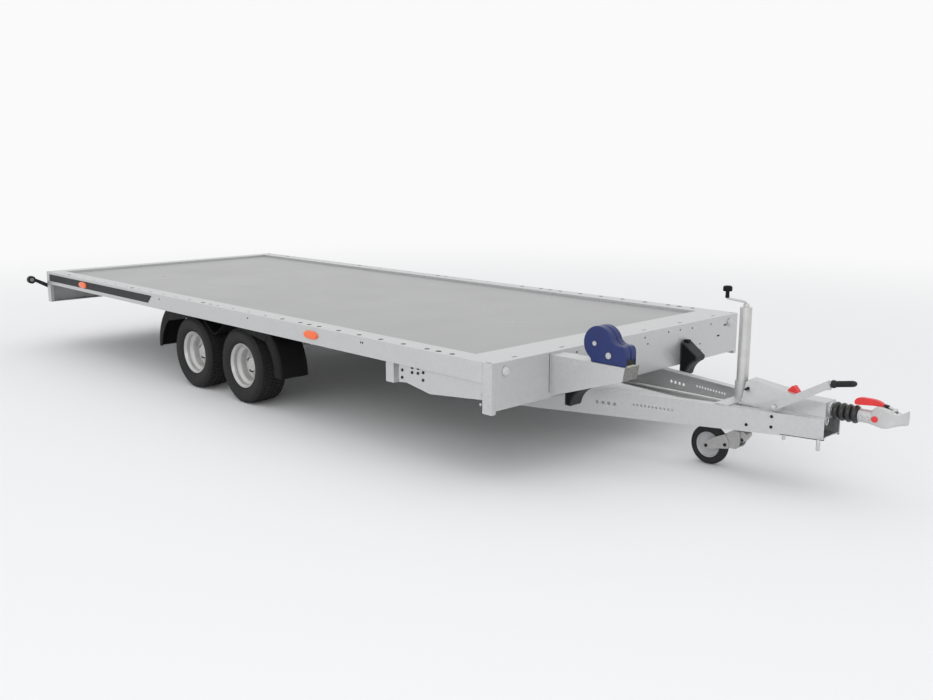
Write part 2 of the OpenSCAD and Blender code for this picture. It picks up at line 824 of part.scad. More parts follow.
module axle(i) color("dimgray") {
    x = axle_xs[i];
    tube_x = x + arm_l;
    arm_in = arm_out - arm_t;
    saddle_z = tube_z + tube_flat;
    translate([tube_x, -arm_in, tube_z]) rotate([-90, 0, 0]) cylinder(r = tube_r, h = 2 * arm_in, $fn = 6);
    both_sides() {
        block([tube_x - saddle_l / 2, chassis_y - chassis_w / 2, saddle_z],
            [tube_x + saddle_l / 2, chassis_y + chassis_w / 2, saddle_z + saddle_t]);
        hull() {
            rod_y(tube_x, arm_in, arm_out, tube_z, tube_r + 2);
            rod_y(x, arm_in, arm_out, wheel_z, spindle_r + 12);
        }
        rod_y(x, arm_out, arm_out + back_plate, wheel_z, drum_r + 6);
        rod_y(x, arm_out, wheel_y + disc_w + hub_l - 4, wheel_z, spindle_r);
    }
}

// Turns a profile drawn in (radius, outward) round a wheel's axle
module wheel_round(w) on_side(w[SIDE]) translate([axle_xs[w[AXLE]], wheel_y, wheel_z])
    rotate([-90, 0, 0]) rotate_extrude($fn = 96) children();

module drum(w) color("dimgray") {
    back = arm_out + back_plate + clear - wheel_y;
    bore = spindle_r + run_gap;
    wheel_round(w) {
        translate([bore, back]) square([drum_r - bore, disc_w - back]);
        translate([bore, disc_w - 1]) square([hub_r - bore, hub_l + 1]);
        translate([0, disc_w + hub_l - 1]) square([hub_r, cap_t]);
    }
}

module rim(w) color("silver") {
    half = rim_w / 2;
    bead = rim_bead;
    well = rim_well;
    in_bead = bead - rim_wall;
    in_well = well - rim_wall;
    wheel_round(w)
        polygon([[rim_lip, half - 6], [bead, half - 10], [bead, half - 38], [well, half - 50],
            [well, -half + 62], [bead, -half + 38], [bead, -half + 10], [rim_lip, -half + 6],
            [rim_lip, -half], [in_bead, -half + 4], [in_bead, -half + 36], [in_well, disc_w],
            [hub_r, disc_w], [hub_r, disc_w + disc_t],
            [in_well, disc_w + disc_t], [in_well, half - 48], [in_bead, half - 36], [in_bead, half - 4],
            [rim_lip, half]]);
}

module tyre(w) color("black") {
    outer = tyre_d / 2;
    wheel_round(w) difference() {
        intersection() {
            union() {
                for (s = [-1, 1]) translate([tyre_side_c, s * (tyre_w / 2 - tyre_side_r)])
                    circle(r = tyre_side_r);
                translate([rim_bead, -tyre_shoulder]) square([outer - rim_bead, 2 * tyre_shoulder]);
            }
            translate([rim_bead, -tyre_w / 2]) square([outer - rim_bead, tyre_w]);
        }
        for (s = [0, 1]) mirror([0, s])
            translate([rim_bead - 1, rim_w / 2 - 12]) square([bead_drop + 3, tyre_w]);
    }
}

// A mudguard's outline in (x, z), drawn in by inset: round ends about the wheels, a roof with a dip
module guard_outline(inset) {
    mid = (axle_xs[0] + axle_xs[1]) / 2;
    top = guard_top - inset;
    out = guard_reach - guard_end_r;
    flat = 20 + inset;
    difference() {
        intersection() {
            translate([mid - bed_l, guard_low - inset]) square([2 * bed_l, top - guard_low + inset]);
            union() {
                for (s = [-1, 1]) translate([mid + s * (axle_gap / 2 + out), wheel_z])
                    circle(r = guard_end_r - inset, $fn = 96);
                translate([axle_xs[1] - out, 0]) square([axle_gap + 2 * out, top]);
            }
        }
        polygon([[mid - guard_dip_w - inset, top + 1], [mid - flat, top - guard_dip],
            [mid + flat, top - guard_dip], [mid + guard_dip_w + inset, top + 1]]);
    }
}

module mudguard(side) color("black") on_side(side) {
    out = guard_reach - guard_end_r;
    slab(guard_y - guard_w, guard_y) difference() {
        guard_outline(0);
        guard_outline(guard_t);
    }
    slab(guard_y - guard_t, guard_y) difference() {
        guard_outline(0);
        for (x = [axle_xs[1] - out, axle_xs[0] + out]) translate([x, wheel_z])
            circle(r = guard_end_r - guard_band, $fn = 96);
        translate([axle_xs[1] - out, 0]) square([axle_gap + 2 * out, deck_h]);
    }
    slab(guard_y - guard_t, web_y) difference() {
        guard_outline(0);
        guard_outline(guard_t);
        translate([guard_x0, 0]) square([guard_x1 - guard_x0, rail_bot]);
    }
}

// Winch and chocks

module winch_console() color("lightgray") {
    low_back = console_top - console_back_h;
    low_end = console_top - console_end_h;
    end_low_x = console_l - console_lean;
    inner = console_y - console_w;
    mirror([0, 1, 0]) {
        for (y = [inner, console_y - sheet]) slab(y, y + sheet)
            polygon([[0, low_back], [end_low_x, low_end], [console_l, console_top], [0, console_top]]);
        slab(inner, console_y) polygon([[end_low_x, low_end], [console_l, console_top],
            [console_l - sheet, console_top], [end_low_x - sheet, low_end]]);
        block([0, inner, console_top - sheet], [console_l, console_y, console_top]);
        block([0, inner, low_back], [sheet, console_y, console_top]);
    }
}

// A round drum cover that runs into a lower box, open at the foot of its front for the strap
module winch_cover() color("midnightblue") {
    mid = console_y - console_w / 2;
    half = winch_w / 2;
    front = console_l - 2;
    top = winch_z + winch_step;
    box_x = winch_x - 10;
    reach = winch_r + winch_fillet;
    rise = winch_step + winch_fillet;
    run = sqrt(reach * reach - rise * rise);
    touch = winch_r / reach;
    difference() {
        slab(-mid - half, -mid + half) difference() {
            union() {
                translate([winch_x, winch_z]) circle(r = winch_r, $fn = 96);
                translate([box_x, console_top]) square([front - box_x, top - winch_nose - console_top]);
                translate([box_x, console_top]) square([front - winch_nose - box_x, top - console_top]);
                translate([front - winch_nose, top - winch_nose]) circle(r = winch_nose);
                polygon([[winch_x, winch_z], [winch_x + run, top],
                    [winch_x + run * touch, winch_z + rise * touch]]);
            }
            translate([winch_x + run, top + winch_fillet]) circle(r = winch_fillet);
            translate([0, console_top - winch_r]) square([2 * front, winch_r]);
        }
        block([front - winch_mouth, -mid - half + winch_wall, console_top - 1],
            [front + 1, -mid + half - winch_wall, console_top + winch_mouth - winch_wall]);
    }
}

module wheel_chocks() color("black") both_sides() {
    top = deck_h - chock_drop;
    low = top - chock_h;
    nose = top - chock_h * 0.45;
    slab(chock_y - chock_w / 2, chock_y + chock_w / 2) difference() {
        polygon([[0, top], [chock_flat, top], [chock_l, nose + chock_lip], [chock_l, nose],
            [chock_foot, low], [0, low]]);
        translate([chock_l + 40, low - 13]) circle(r = chock_arc_r, $fn = 96);
    }
}

// Lamps and number plate

module side_markers() color("orange") both_sides() for (x = [-marker_front, -bed_l + marker_rear])
    slab(half_w, half_w + marker_t) translate([x, deck_h - marker_drop]) {
        square([marker_l - marker_h, marker_h], center = true);
        for (s = [-1, 1]) translate([s * (marker_l - marker_h) / 2, 0]) circle(d = marker_h);
    }

module front_lamps() color("white") both_sides()
    rod_x(0, lamp_t, half_w - lamp_inset, deck_h - lamp_drop, lamp_r);

module tail_lamps() color("firebrick") both_sides()
    block([-bed_l - tail_t, half_w - tail_inset - tail_w, deck_h - tail_drop - tail_h],
        [-bed_l, half_w - tail_inset, deck_h - tail_drop]);

module marker_arms() color("black") both_sides() {
    root_x = -bed_l - arm_base_t;
    head_x = -bed_l - lens_t;
    block([root_x, arm_base_y - arm_base_w / 2, arm_base_z - arm_base_h / 2],
        [-bed_l, arm_base_y + arm_base_w / 2, arm_base_z + arm_base_h / 2]);
    hull() {
        rod_x(root_x - 18, -bed_l, arm_base_y, arm_base_z, arm_root_r);
        rod_x(head_x - 28, head_x - 6, arm_tip_y - 20, arm_tip_z, arm_neck_r);
    }
    rod_x(head_x - arm_head_t, head_x, arm_tip_y, arm_tip_z, arm_lamp_r);
}

module marker_lenses() color("silver") both_sides() {
    head_x = -bed_l - lens_t;
    for (x = [head_x, head_x - arm_head_t - lens_t])
        rod_x(x, x + lens_t, arm_tip_y, arm_tip_z, arm_lamp_r - lens_rim);
}

module number_plate() color("whitesmoke")
    block([-bed_l - plate_t, -plate_w / 2, deck_h - plate_drop - plate_h],
        [-bed_l, plate_w / 2, deck_h - plate_drop]);

placed() side_rail(1);  // side_rail_left
placed() side_rail(-1);  // side_rail_right
placed() front_beam();
placed() rear_beam();
placed() corner_posts();
placed() deck_panel();
placed() cross_members();
placed() drawbar_carrier();
placed() corner_gussets();
placed() chassis_rails();
placed() drawbar_beam();  // drawbar_left
placed() mirror([0, 1, 0]) drawbar_beam();  // drawbar_right
placed() overrun_housing();
placed() bellows();
placed() drawtube();
placed() coupling_head();
placed() coupling_handle();
placed() handbrake_lever();
placed() handbrake_grip();
placed() brake_rod();
placed() jockey_clamp();
placed() jockey_tube();
placed() jockey_leg();
placed() jockey_fork();
placed() jockey_disc();
placed() jockey_tyre();
placed() jockey_crank();
placed() jockey_knob();
placed() axle(0);  // axle_front
placed() axle(1);  // axle_rear
for (w = WHEELS) {
    placed() drum(w);
    placed() rim(w);
    placed() tyre(w);
}
placed() mudguard(1);  // mudguard_left
placed() mudguard(-1);  // mudguard_right
placed() winch_console();
placed() winch_cover();
placed() wheel_chocks();
placed() side_markers();
placed() front_lamps();
placed() tail_lamps();
placed() marker_arms();
placed() marker_lenses();
placed() number_plate();
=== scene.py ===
"""The looks of a flatbed car trailer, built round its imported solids.

Sizes inside the classes are in millimetres: x from the bed's front face towards the coupling, y to the
trailer's left, z above the ground. `at` turns such a place into the frame's metres.
"""

import logging
import math
from dataclasses import dataclass, field
from enum import Enum
from typing import Iterable, Sequence

import bmesh
import bpy
from mathutils import Matrix, Vector


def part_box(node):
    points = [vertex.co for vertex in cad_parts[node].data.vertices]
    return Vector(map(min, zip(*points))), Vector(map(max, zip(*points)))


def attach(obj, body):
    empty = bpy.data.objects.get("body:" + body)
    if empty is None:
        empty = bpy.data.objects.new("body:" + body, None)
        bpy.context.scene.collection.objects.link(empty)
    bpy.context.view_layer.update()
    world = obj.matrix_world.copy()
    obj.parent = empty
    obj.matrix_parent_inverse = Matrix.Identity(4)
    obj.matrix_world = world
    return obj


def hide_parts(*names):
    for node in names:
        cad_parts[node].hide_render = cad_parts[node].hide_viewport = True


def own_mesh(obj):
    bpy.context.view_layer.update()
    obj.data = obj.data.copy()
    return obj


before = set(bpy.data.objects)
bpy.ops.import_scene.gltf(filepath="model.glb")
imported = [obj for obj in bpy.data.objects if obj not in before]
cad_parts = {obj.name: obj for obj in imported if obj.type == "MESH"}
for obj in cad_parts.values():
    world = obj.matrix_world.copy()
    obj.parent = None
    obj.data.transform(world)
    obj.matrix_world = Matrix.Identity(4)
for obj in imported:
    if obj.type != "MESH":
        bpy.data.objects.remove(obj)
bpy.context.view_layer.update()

LOG = logging.getLogger("trailer")
MM = 0.001
BED_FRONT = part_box("front_beam")[1].x
TRAILER = "trailer"
MERGE = 1e-6
CORNER_SHARE = 0.45
SIDES = (-1, 1)
AHEAD, BEHIND, OUT, UP = (1, 0, 0), (-1, 0, 0), (0, -1, 0), (0, 0, 1)

Colour = tuple[float, float, float]
Outline = Sequence[tuple[float, float]]
Points = list[tuple[float, float]]
Place = tuple[float, float, float]
Fixings = list[tuple[Place, Place]]
Shape = bmesh.types.BMesh
Socket = bpy.types.NodeSocket
Piece = bpy.types.Object


class Slot(Enum):
    """Names of the material slots that the finishes carry."""

    GALVANISED = "galvanised"
    ZINC = "zinc_plate"
    DECK = "deck"
    CAST = "cast_metal"
    RIM = "rim_silver"
    TYRE = "tyre_rubber"
    RUBBER = "black_rubber"
    BLACK = "black_plastic"
    GREY = "grey_plastic"
    RED = "red_plastic"
    WINCH = "winch_paint"
    AMBER_LENS = "amber_lens"
    CLEAR_LENS = "clear_lens"
    RED_LENS = "red_lens"
    PLATE = "plate_white"


class Axis(Enum):
    """A direction of the trailer, with two others square to it."""

    X = ((1, 0, 0), (0, 1, 0), (0, 0, 1))
    Y = ((0, 1, 0), (0, 0, 1), (1, 0, 0))
    Z = ((0, 0, 1), (1, 0, 0), (0, 1, 0))


class Side(Enum):
    """The two long sides of the trailer."""

    LEFT = 1
    RIGHT = -1


def at(x: float, y: float, z: float) -> Vector:
    """A place in millimetres from the bed's front, in the frame's metres."""
    return Vector((BED_FRONT + x * MM, y * MM, z * MM))


# Node trees and materials


class Graph:
    """A node tree under construction."""

    def __init__(self, tree: bpy.types.NodeTree) -> None:
        """Takes the tree to fill."""
        self.tree = tree

    def put(self, socket: Socket, value: object) -> None:
        """Sets a socket to a value, or links other sockets to it.

        Args:
            socket: The input to fill.
            value: A number, a colour, an output socket or a list of output sockets.
        """
        for item in value if isinstance(value, list) else [value]:
            if isinstance(item, Socket):
                self.tree.links.new(item, socket)
            else:
                socket.default_value = item

    def add(self, kind: str, inputs: dict[str | int, object], **settings: object) -> bpy.types.Node:
        """Adds a node.

        Args:
            kind: The node's type name.
            inputs: Values or sockets for its inputs, by name or number.
            settings: Its other settings.

        Returns:
            The node.
        """
        node = self.tree.nodes.new(kind)
        for key, value in settings.items():
            setattr(node, key, value)
        for key, value in inputs.items():
            self.put(node.inputs[key], value)
        return node

    def first(self, kind: str, inputs: dict[str | int, object], **settings: object) -> Socket:
        """Adds a node and gives its first output."""
        return self.add(kind, inputs, **settings).outputs[0]

    def maths(self, operation: str, one: object, two: object) -> Socket:
        """A sum, a product or another operation on two sockets or numbers."""
        return self.first("ShaderNodeMath", {0: one, 1: two}, operation=operation)


class Shader(Graph):
    """A material's node tree round one Principled shader."""

    def __init__(self, name: str) -> None:
        """Starts a material.

        Args:
            name: The material's name.
        """
        self.material = bpy.data.materials.new(name)
        self.material.use_nodes = True
        super().__init__(self.material.node_tree)
        self.surface = next(n for n in self.tree.nodes if n.type == "BSDF_PRINCIPLED")
        self.place = self.add("ShaderNodeTexCoord", {}).outputs["Object"]

    def noise(self, grain: float, detail: float, stretch: Place = (1, 1, 1)) -> Socket:
        """Cloudy noise.

        Args:
            grain: Size of its clouds in millimetres.
            detail: Number of finer layers.
            stretch: Scale along each axis.

        Returns:
            The noise's value socket.
        """
        spread = self.first("ShaderNodeMapping", {"Vector": self.place, "Scale": stretch})
        return self.first("ShaderNodeTexNoise", {"Vector": spread, "Scale": 1 / (grain * MM),
                                                 "Detail": detail})

    def cells(self, grain: float) -> Socket:
        """Crystal cells of a size in millimetres, each with a shade of its own."""
        cells = self.add("ShaderNodeTexVoronoi", {"Vector": self.place, "Scale": 1 / (grain * MM)})
        return self.first("ShaderNodeSeparateColor", {"Color": cells.outputs["Color"]})

    def around(self, value: Socket, middle: float, swing: float) -> Socket:
        """Spreads a cloudy value about a number.

        Args:
            value: The socket to spread.
            middle: The number.
            swing: How far the result goes below and above it.

        Returns:
            The result's socket.
        """
        return self.first("ShaderNodeMapRange", {"Value": value, "From Min": 0.3, "From Max": 0.7,
                                                 "To Min": middle - swing, "To Max": middle + swing})

    def tint(self, value: Socket, colour: Colour, swing: float) -> Socket:
        """Lightens and darkens a colour by a value.

        Args:
            value: A socket from 0 to 1.
            colour: The middle colour.
            swing: Share by which it goes up and down.

        Returns:
            The colour's socket.
        """
        ramp = self.add("ShaderNodeValToRGB", {"Fac": value})
        for stop, place, share in zip(ramp.color_ramp.elements, (0.25, 0.75), (1 - swing, 1 + swing)):
            stop.position = place
            stop.color = (*(min(1.0, c * share) for c in colour), 1)
        return ramp.outputs[0]

    def relief(self, height: Socket, depth: float, strength: float) -> None:
        """Gives the surface fine relief.

        Args:
            height: The socket that says how high each point is.
            depth: Depth of the relief in millimetres.
            strength: How much of it shows.
        """
        bump = self.first("ShaderNodeBump", {"Height": height, "Strength": strength, "Distance": depth * MM})
        self.put(self.surface.inputs["Normal"], bump)

    def set(self, **inputs: object) -> None:
        """Fills inputs of the surface shader, by name with underscores for spaces."""
        for key, value in inputs.items():
            self.put(self.surface.inputs[key.replace("_", " ")], value)


@dataclass(frozen=True)
class Finish:
    """A surface finish of the trailer."""

    name: str
    slot: Slot
    colour: Colour
    roughness: float = 0.5

    def material(self) -> bpy.types.Material:
        """Makes the finish's material at its first use.

        Returns:
            The material.
        """
        found = bpy.data.materials.get(self.name)
        if found:
            return found
        shader = Shader(self.name)
        self.paint(shader)
        return shader.material

    def paint(self, shader: Shader) -> None:
        """Builds the finish's nodes in a material."""
        raise NotImplementedError


@dataclass(frozen=True)
class Galvanised(Finish):
    """Zinc-coated steel: crystal spangle, soft clouds and a dull metal shine."""

    metallic: float = 0.55
    spangle: float = 12.0
    contrast: float = 0.035

    def paint(self, shader: Shader) -> None:
        """Builds the finish's nodes.

        Args:
            shader: The material to fill.
        """
        both_tones = shader.maths("ADD", shader.cells(self.spangle), shader.noise(160, 4))
        tone = shader.maths("MULTIPLY", both_tones, 0.5)
        shader.set(Base_Color=shader.tint(tone, self.colour, self.contrast), Metallic=self.metallic,
                   Roughness=shader.around(tone, self.roughness, 0.07))
        shader.relief(shader.noise(5, 2), 0.02, 0.4)


@dataclass(frozen=True)
class Smooth(Finish):
    """A moulded, painted or plated surface with a faint grain and uneven gloss."""

    metallic: float = 0.0
    grain: float = 0.8
    depth: float = 0.02
    swing: float = 0.08
    coat: float = 0.0
    shine: float = 0.5

    def paint(self, shader: Shader) -> None:
        """Builds the finish's nodes.

        Args:
            shader: The material to fill.
        """
        clouds = shader.noise(60, 4)
        shader.set(Base_Color=shader.tint(clouds, self.colour, self.swing), Metallic=self.metallic,
                   Roughness=shader.around(clouds, self.roughness, 0.06), Coat_Weight=self.coat,
                   Coat_Roughness=0.12, Specular_IOR_Level=self.shine)
        shader.relief(shader.noise(self.grain, 2), self.depth, 0.6)


@dataclass(frozen=True)
class Deck(Finish):
    """The deck's sheet: soft clouds of tone and very faint rolled streaks along the bed."""

    def paint(self, shader: Shader) -> None:
        """Builds the finish's nodes.

        Args:
            shader: The material to fill.
        """
        clouds = shader.noise(420, 4)
        shader.set(Base_Color=shader.tint(clouds, self.colour, 0.04), Metallic=0.15,
                   Roughness=shader.around(clouds, self.roughness, 0.03))
        shader.relief(shader.noise(14, 3, (0.06, 1, 1)), 0.002, 0.02)


@dataclass(frozen=True)
class Lens(Finish):
    """A coloured lamp lens with moulded ribs behind a clear gloss."""

    ribs: float = 6.0

    def paint(self, shader: Shader) -> None:
        """Builds the finish's nodes.

        Args:
            shader: The material to fill.
        """
        wave = shader.add("ShaderNodeTexWave", {"Vector": shader.place, "Scale": 1 / (self.ribs * MM) / 6.28,
                                                "Distortion": 0.0}, bands_direction="DIAGONAL").outputs[1]
        shader.set(Base_Color=shader.tint(wave, self.colour, 0.05), Roughness=self.roughness, Coat_Weight=0.4,
                   Coat_Roughness=0.08, Subsurface_Weight=0.15, Subsurface_Scale=0.004)
        shader.relief(wave, 0.15, 0.2)


GALVANISED = Galvanised("galvanised_sheet", Slot.GALVANISED, (0.575, 0.58, 0.58), 0.44)
GALVANISED_DARK = Galvanised("galvanised_spangled", Slot.GALVANISED, (0.44, 0.44, 0.43), 0.42, spangle=8,
                             contrast=0.07)
# Darker galvanised with strong spangle: its darkness is painted shade, for parts that sit in shade.
GALVANISED_SHADED = Galvanised("galvanised_worn", Slot.GALVANISED, (0.25, 0.25, 0.24), 0.42, spangle=5,
                             contrast=0.28)
ZINC = Smooth("zinc_plating", Slot.ZINC, (0.60, 0.60, 0.59), 0.34, metallic=0.7)
DECK = Deck("deck_sheet", Slot.DECK, (0.285, 0.285, 0.287), 0.30)
CAST = Smooth("cast_head", Slot.CAST, (0.58, 0.58, 0.58), 0.42, metallic=0.5, grain=1.6, depth=0.1)
RIM = Smooth("rim_lacquer", Slot.RIM, (0.54, 0.54, 0.53), 0.38, metallic=0.5, coat=0.2)
TYRE = Smooth("tyre_rubber_black", Slot.TYRE, (0.021, 0.021, 0.022), 0.74, grain=1.2, depth=0.08, swing=0.18,
              shine=0.3)
RUBBER = Smooth("rubber_black", Slot.RUBBER, (0.010, 0.010, 0.011), 0.5, grain=1.0, depth=0.05, swing=0.15,
                shine=0.35)
BELLOWS = Smooth("bellows_rubber", Slot.RUBBER, (0.012, 0.012, 0.013), 0.36, grain=1.0, depth=0.03, shine=0.6)
BLACK = Smooth("plastic_black", Slot.BLACK, (0.007, 0.007, 0.0075), 0.55, grain=0.9, depth=0.05, swing=0.15,
               shine=0.15)
CHARCOAL = Smooth("stripe_film", Slot.BLACK, (0.036, 0.037, 0.039), 0.55, grain=2.0, shine=0.2)
GREY = Smooth("plastic_grey", Slot.GREY, (0.47, 0.47, 0.48), 0.45)
RED = Smooth("plastic_red", Slot.RED, (0.78, 0.030, 0.033), 0.38, coat=0.1)
WINCH = Smooth("winch_blue", Slot.WINCH, (0.013, 0.027, 0.130), 0.38, coat=0.1, shine=0.35)
STRAP = Smooth("strap_beige", Slot.PLATE, (0.52, 0.49, 0.38), 0.8, grain=1.5, depth=0.3)
AMBER = Lens("lens_amber", Slot.AMBER_LENS, (0.98, 0.15, 0.025), 0.3)
CLEAR = Lens("lens_clear", Slot.CLEAR_LENS, (0.80, 0.81, 0.82), 0.18)
SMOKED = Smooth("lens_smoked", Slot.CLEAR_LENS, (0.22, 0.22, 0.225), 0.3, coat=0.4)
FROSTED = Smooth("lens_frosted", Slot.CLEAR_LENS, (0.58, 0.58, 0.58), 0.3, coat=0.4)
RED_LENS = Lens("lens_red", Slot.RED_LENS, (0.55, 0.012, 0.014), 0.2)
PLATE = Smooth("plate_film", Slot.PLATE, (0.78, 0.78, 0.76), 0.4)


# Outlines and meshes


def shifted(outline: Outline, x: float, z: float) -> Points:
    """An outline moved by x and z."""
    return [(x + px, z + pz) for px, pz in outline]


def arc(x: float, z: float, radius: float, degrees: Iterable[float]) -> Points:
    """Points of a circle about (x, z), at angles in degrees."""
    return [(x + radius * math.cos(a), z + radius * math.sin(a)) for a in map(math.radians, degrees)]


def bend(before: Vector, corner: Vector, after: Vector, reach: float, steps: int) -> list[Vector]:
    """Rounds one corner of a line.

    Args:
        before: The point before the corner.
        corner: The corner.
        after: The point after it.
        reach: How far from the corner the rounding starts, at most.
        steps: Number of edges in it.

    Returns:
        The rounded corner's points.
    """
    back, ahead = before - corner, after - corner
    start = corner + back.normalized() * min(reach, back.length * CORNER_SHARE)
    end = corner + ahead.normalized() * min(reach, ahead.length * CORNER_SHARE)
    return [start * (1 - t) ** 2 + corner * 2 * t * (1 - t) + end * t * t
            for t in (k / steps for k in range(steps + 1))]


def rounded(outline: Outline, radius: float, steps: int = 4, closed: bool = True) -> Points:
    """Rounds an outline's corners.

    Args:
        outline: Its corners.
        radius: How far from a corner the rounding starts, at most.
        steps: Number of edges in a rounded corner.
        closed: Whether the last corner joins the first.

    Returns:
        The rounded outline.
    """
    points = [Vector(p) for p in outline]
    line: Points = []
    for i, corner in enumerate(points):
        if not closed and i in (0, len(points) - 1):
            line.append(tuple(corner))
        else:
            after = points[(i + 1) % len(points)]
            line += [tuple(p) for p in bend(points[i - 1], corner, after, radius, steps)]
    return line


def woven(rows: Sequence[Sequence[Vector]], looped: bool, closed: bool) -> Shape:
    """Joins rows of points with faces.

    Args:
        rows: Rows of equal length.
        looped: Whether the last row joins the first.
        closed: Whether a row's last point joins its first.

    Returns:
        The mesh.
    """
    bm = bmesh.new()
    grid = [[bm.verts.new(p) for p in row] for row in rows]
    for a, b in zip(grid, grid[1:] + grid[:1] if looped else grid[1:]):
        for i in range(len(a) if closed else len(a) - 1):
            j = (i + 1) % len(a)
            bm.faces.new((a[i], a[j], b[j], b[i]))
    return bm


def loft(rings: Sequence[Sequence[Vector]]) -> Shape:
    """Joins closed rings of points with faces and fills the two ends.

    Args:
        rings: Rings of equal length.

    Returns:
        The mesh.
    """
    bm = woven(rings, False, True)
    verts, count = list(bm.verts), len(rings[0])
    bm.faces.new(verts[:count][::-1])
    bm.faces.new(verts[-count:])
    return bm


def lathe(profile: Outline, centre: Vector, axis: Axis, segments: int, closed: bool = True) -> Shape:
    """Turns a profile about an axis.

    Args:
        profile: Pairs of radius and distance along the axis, in millimetres.
        centre: Where the axis starts.
        axis: Its direction.
        segments: Number of steps round.
        closed: Whether the profile's last point joins its first.

    Returns:
        The mesh, with its poles merged.
    """
    along, one, two = (Vector(v) for v in axis.value)
    rows = []
    for i in range(segments):
        turn = 2 * math.pi * i / segments
        out = one * math.cos(turn) + two * math.sin(turn)
        rows.append([centre + (out * r + along * h) * MM for r, h in profile])
    bm = woven(rows, True, closed)
    bmesh.ops.remove_doubles(bm, verts=bm.verts, dist=MERGE)
    bmesh.ops.dissolve_degenerate(bm, edges=bm.edges, dist=MERGE)
    return bm


def prism(outline: Outline, axis: Axis, low: float, high: float) -> Shape:
    """Gives an outline thickness.

    Args:
        outline: Corners in millimetres: (x, z) for Y, (x, y) for Z and (y, z) for X.
        axis: The direction of the thickness.
        low: Where it starts along the axis.
        high: Where it ends.

    Returns:
        The mesh.
    """
    spread = {Axis.X: lambda a, b, c: at(c, a, b),
              Axis.Y: lambda a, b, c: at(a, c, b),
              Axis.Z: lambda a, b, c: at(a, b, c)}[axis]
    return loft([[spread(a, b, c) for a, b in outline] for c in (low, high)])


def block(low: Place, high: Place) -> Shape:
    """A plain block between two corners in millimetres, to be bevelled."""
    (x0, y0, z0), (x1, y1, z1) = low, high
    return prism([(x0, y0), (x1, y0), (x1, y1), (x0, y1)], Axis.Z, z0, z1)


def joined(parts: Iterable[Shape]) -> Shape:
    """Puts meshes together as one.

    Args:
        parts: The meshes, which are used up.

    Returns:
        One mesh of them all.
    """
    whole = bmesh.new()
    for part in parts:
        step = bpy.data.meshes.new("step")
        part.to_mesh(step)
        part.free()
        whole.from_mesh(step)
        bpy.data.meshes.remove(step)
    return whole


# Pieces


def linked(name: str, data: bpy.types.ID) -> Piece:
    """Adds an object with a mesh, a lamp or a camera to the scene, at the origin.

    Args:
        name: The object's name.
        data: What it holds.

    Returns:
        The object.
    """
    piece = bpy.data.objects.new(name, data)
    bpy.context.scene.collection.objects.link(piece)
    return piece


def solid(name: str, bm: Shape) -> Piece:
    """Makes an object of a mesh, with its faces turned outwards.

    Args:
        name: The object's name.
        bm: Its mesh, which is used up.

    Returns:
        The object.
    """
    bmesh.ops.recalc_face_normals(bm, faces=bm.faces)
    mesh = bpy.data.meshes.new(name)
    bm.to_mesh(mesh)
    bm.free()
    return linked(name, mesh)


def made(name: str, bm: Shape, finish: Finish) -> Piece:
    """Makes an object of a mesh, with a finish.

    Args:
        name: The piece's name.
        bm: Its mesh, which is used up.
        finish: Its finish.

    Returns:
        The object.
    """
    piece = solid(name, bm)
    piece.data.materials.append(finish.material())
    return piece


def applied(piece: Piece) -> Piece:
    """Turns a piece with modifiers into a plain mesh.

    Args:
        piece: The object.

    Returns:
        The same object, its modifiers gone.
    """
    graph = bpy.context.evaluated_depsgraph_get()
    mesh = bpy.data.meshes.new_from_object(piece.evaluated_get(graph), depsgraph=graph)
    mesh.name = piece.name
    piece.modifiers.clear()
    piece.data = mesh
    return piece


def smoothed(piece: Piece, angle: float = 38) -> Piece:
    """Shades a piece smooth, with its hard edges kept.

    Args:
        piece: The object.
        angle: Angle in degrees past which an edge is hard.

    Returns:
        The same object.
    """
    piece.data.shade_smooth()
    piece.data.set_sharp_from_angle(angle=math.radians(angle))
    return piece


def bevelled(piece: Piece, width: float, segments: int = 2, angle: float = 30) -> Piece:
    """Rounds a piece's edges.

    Args:
        piece: The object.
        width: Width of the rounding in millimetres.
        segments: Number of steps across it.
        angle: Angle in degrees past which an edge is rounded.

    Returns:
        The same object, as a plain mesh.
    """
    bevel = piece.modifiers.new("edges", "BEVEL")
    bevel.width = width * MM
    bevel.segments = segments
    bevel.limit_method = "ANGLE"
    bevel.angle_limit = math.radians(angle)
    piece.data.shade_smooth()
    weigh = piece.modifiers.new("shading", "WEIGHTED_NORMAL")
    weigh.keep_sharp = True
    return applied(piece)


def cut(piece: Piece, cutter: Shape) -> Piece:
    """Cuts a shape out of a piece.

    Args:
        piece: The object.
        cutter: The shape, which is used up.

    Returns:
        The same object, as a plain mesh.
    """
    tool = solid("cutter", cutter)
    hole = piece.modifiers.new("hole", "BOOLEAN")
    hole.object = tool
    hole.solver = "EXACT"
    applied(piece)
    bpy.data.meshes.remove(tool.data)
    return piece


def settled(piece: Piece, body: str, finish: Finish, *nodes: str) -> Piece:
    """Puts a finished piece on a body of the trailer.

    Args:
        piece: The object.
        body: The body that it rides on.
        finish: The finish; not used.
        nodes: Names of the solids that it stands for.

    Returns:
        The same object.
    """
    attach(piece, body)
    if nodes:
        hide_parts(*nodes)
    LOG.info("%s rides on %s: %d faces", piece.name, body, len(piece.data.polygons))
    return piece


def edged(name: str, bm: Shape, finish: Finish, width: float, *nodes: str, body: str = TRAILER,
          segments: int = 2, angle: float = 30) -> Piece:
    """Makes a piece with rounded edges and puts it on its body.

    Args:
        name: The piece's name.
        bm: Its mesh, which is used up.
        finish: Its finish.
        width: Width of the rounding in millimetres.
        nodes: Names of the solids that it stands for.
        body: The body that it rides on.
        segments: Number of steps across the rounding.
        angle: Angle in degrees past which an edge is rounded.

    Returns:
        The piece.
    """
    return settled(bevelled(made(name, bm, finish), width, segments, angle), body, finish, *nodes)


